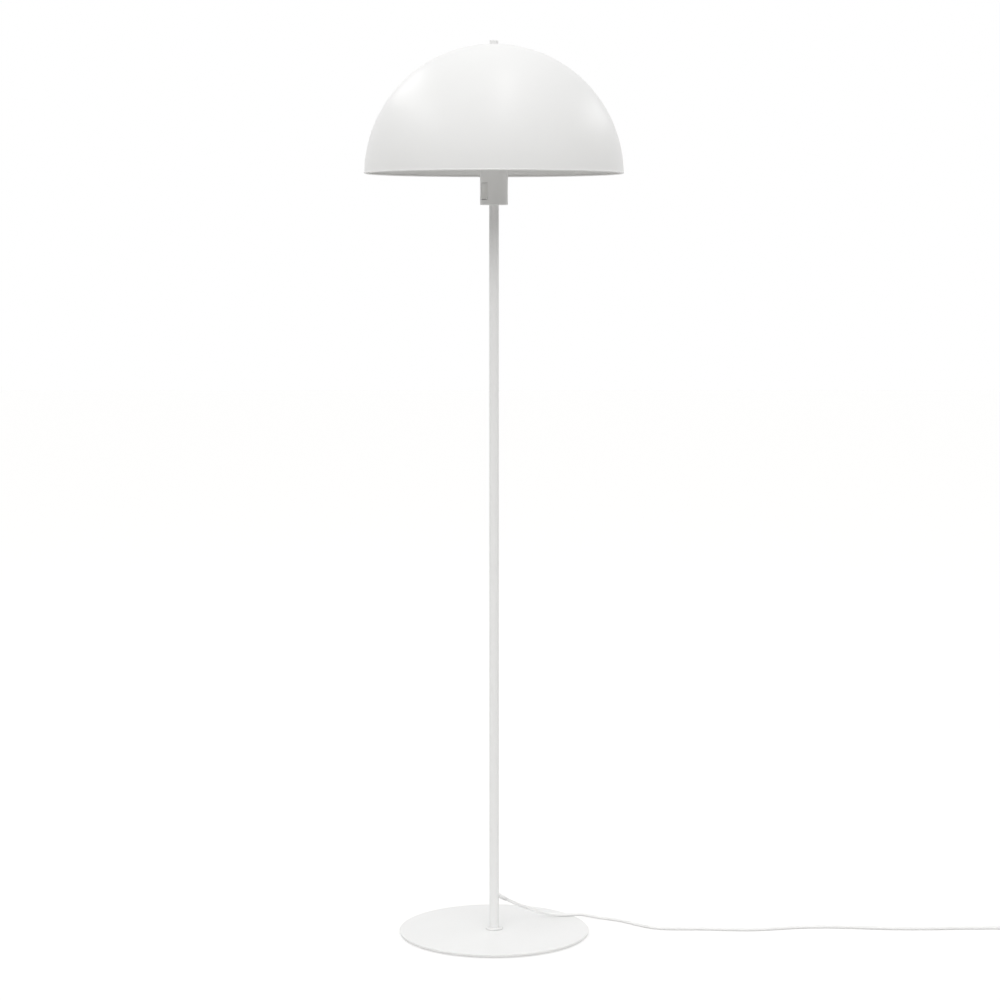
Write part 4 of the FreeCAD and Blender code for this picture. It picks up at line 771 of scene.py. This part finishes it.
def makeFloor():
    # the camera sees the floor's real shade and a white glow in set shares, which together come to white
    # round the lamp, so its shadow stays; the lamp itself is lit by the plain paper
    s = studioSettings
    half = s["floorSize"] / 2
    corners = [(-half, -half, 0), (half, -half, 0), (half, half, 0), (-half, half, 0)]
    mesh = bpy.data.meshes.new("floor")
    mesh.from_pydata(corners, [], [(0, 1, 2, 3)])
    floor = bpy.data.objects.new("floor", mesh)
    scene.collection.objects.link(floor)
    material = bpy.data.materials.new("floorPaper")
    material.use_nodes = True
    tree = material.node_tree
    tree.nodes.clear()
    paper = addNode(tree, "ShaderNodeBsdfDiffuse", {"Color": linear(s["floorColour"])})
    whiteShare = 1.0 - s["floorShadow"]
    level = (1.0 - s["floorShadow"] * s["floorLevel"]) / whiteShare
    white = addNode(tree, "ShaderNodeEmission", {"Color": (1, 1, 1, 1), "Strength": level})
    seen = cameraShare(tree)
    share = addNode(tree, "ShaderNodeMath", {1: whiteShare}, {0: (seen, 0)}, operation="MULTIPLY")
    mixed = addNode(tree, "ShaderNodeMixShader", links={0: (share, 0), 1: (paper, 0), 2: (white, 0)})
    addNode(tree, "ShaderNodeOutputMaterial", links={"Surface": (mixed, 0)})
    mesh.materials.append(material)


def makeSky():
    # strength is a sum over four sides, each weighted by the square of the level direction's lean to it,
    # and blends from the horizon to half way up and from there to overhead
    s = studioSettings
    world = bpy.data.worlds.new("studio")
    scene.world = world
    world.use_nodes = True
    tree = world.node_tree
    tree.nodes.clear()
    place = addNode(tree, "ShaderNodeTexCoord")
    flat = addNode(
        tree, "ShaderNodeVectorMath", {1: (1, 1, 0)}, {0: (place, "Generated")}, operation="MULTIPLY",
    )
    level = addNode(tree, "ShaderNodeVectorMath", links={0: (flat, 0)}, operation="NORMALIZE")
    total = None
    for towards, low, mid in s["sky"].values():
        lean = addNode(
            tree, "ShaderNodeVectorMath", {1: towards}, {0: (level, 0)}, operation="DOT_PRODUCT",
        )
        share = addNode(tree, "ShaderNodeMath", {1: 0.0}, {0: (lean, "Value")}, operation="MAXIMUM")
        square = addNode(tree, "ShaderNodeMath", {1: 2.0}, {0: (share, 0)}, operation="POWER")
        part = addNode(
            tree, "ShaderNodeVectorMath", {0: (low, mid, 0)}, {"Scale": (square, 0)}, operation="SCALE",
        )
        if total is not None:
            part = addNode(
                tree, "ShaderNodeVectorMath", links={0: (total, 0), 1: (part, 0)}, operation="ADD",
            )
        total = part
    sides = addNode(tree, "ShaderNodeSeparateXYZ", links={"Vector": (total, 0)})
    parts = addNode(tree, "ShaderNodeSeparateXYZ", links={"Vector": (place, "Generated")})
    bands = s["skyBands"]
    lower = addNode(
        tree, "ShaderNodeMapRange", {"From Min": bands[0], "From Max": bands[1]},
        {"Value": (parts, "Z"), "To Min": (sides, "X"), "To Max": (sides, "Y")},
        interpolation_type="SMOOTHSTEP",
    )
    upper = addNode(
        tree, "ShaderNodeMapRange",
        {"From Min": bands[2], "From Max": bands[3], "To Max": s["skyOverhead"]},
        {"Value": (parts, "Z"), "To Min": (lower, 0)},
        interpolation_type="SMOOTHSTEP",
    )
    soft = addNode(tree, "ShaderNodeBackground", {"Color": (1, 1, 1, 1)}, {"Strength": (upper, 0)})
    white = addNode(tree, "ShaderNodeBackground", {"Color": (1, 1, 1, 1), "Strength": 1.0})
    share = cameraShare(tree)
    mixed = addNode(tree, "ShaderNodeMixShader", links={0: (share, 0), 1: (soft, 0), 2: (white, 0)})
    addNode(tree, "ShaderNodeOutputWorld", links={"Surface": (mixed, 0)})


def makeStrips():
    for number, strip in enumerate(studioSettings["strips"], start=1):
        place, target, along, length, width, watts, spread = strip
        data = bpy.data.lights.new(f"strip{number}", "AREA")
        data.shape = "RECTANGLE"
        data.size = length
        data.size_y = width
        data.energy = watts
        data.spread = math.radians(spread)
        light = bpy.data.objects.new(f"strip{number}", data)
        back = (Vector(place) - Vector(target)).normalized()
        side = (Vector(along) - back * Vector(along).dot(back)).normalized()
        turn = Matrix((side, back.cross(side), back)).transposed()
        light.matrix_world = Matrix.Translation(place) @ turn.to_4x4()
        light.visible_camera = False
        scene.collection.objects.link(light)


scene.view_settings.view_transform = "Standard"
makeFloor()
makeSky()
makeStrips()
print("studio lit")
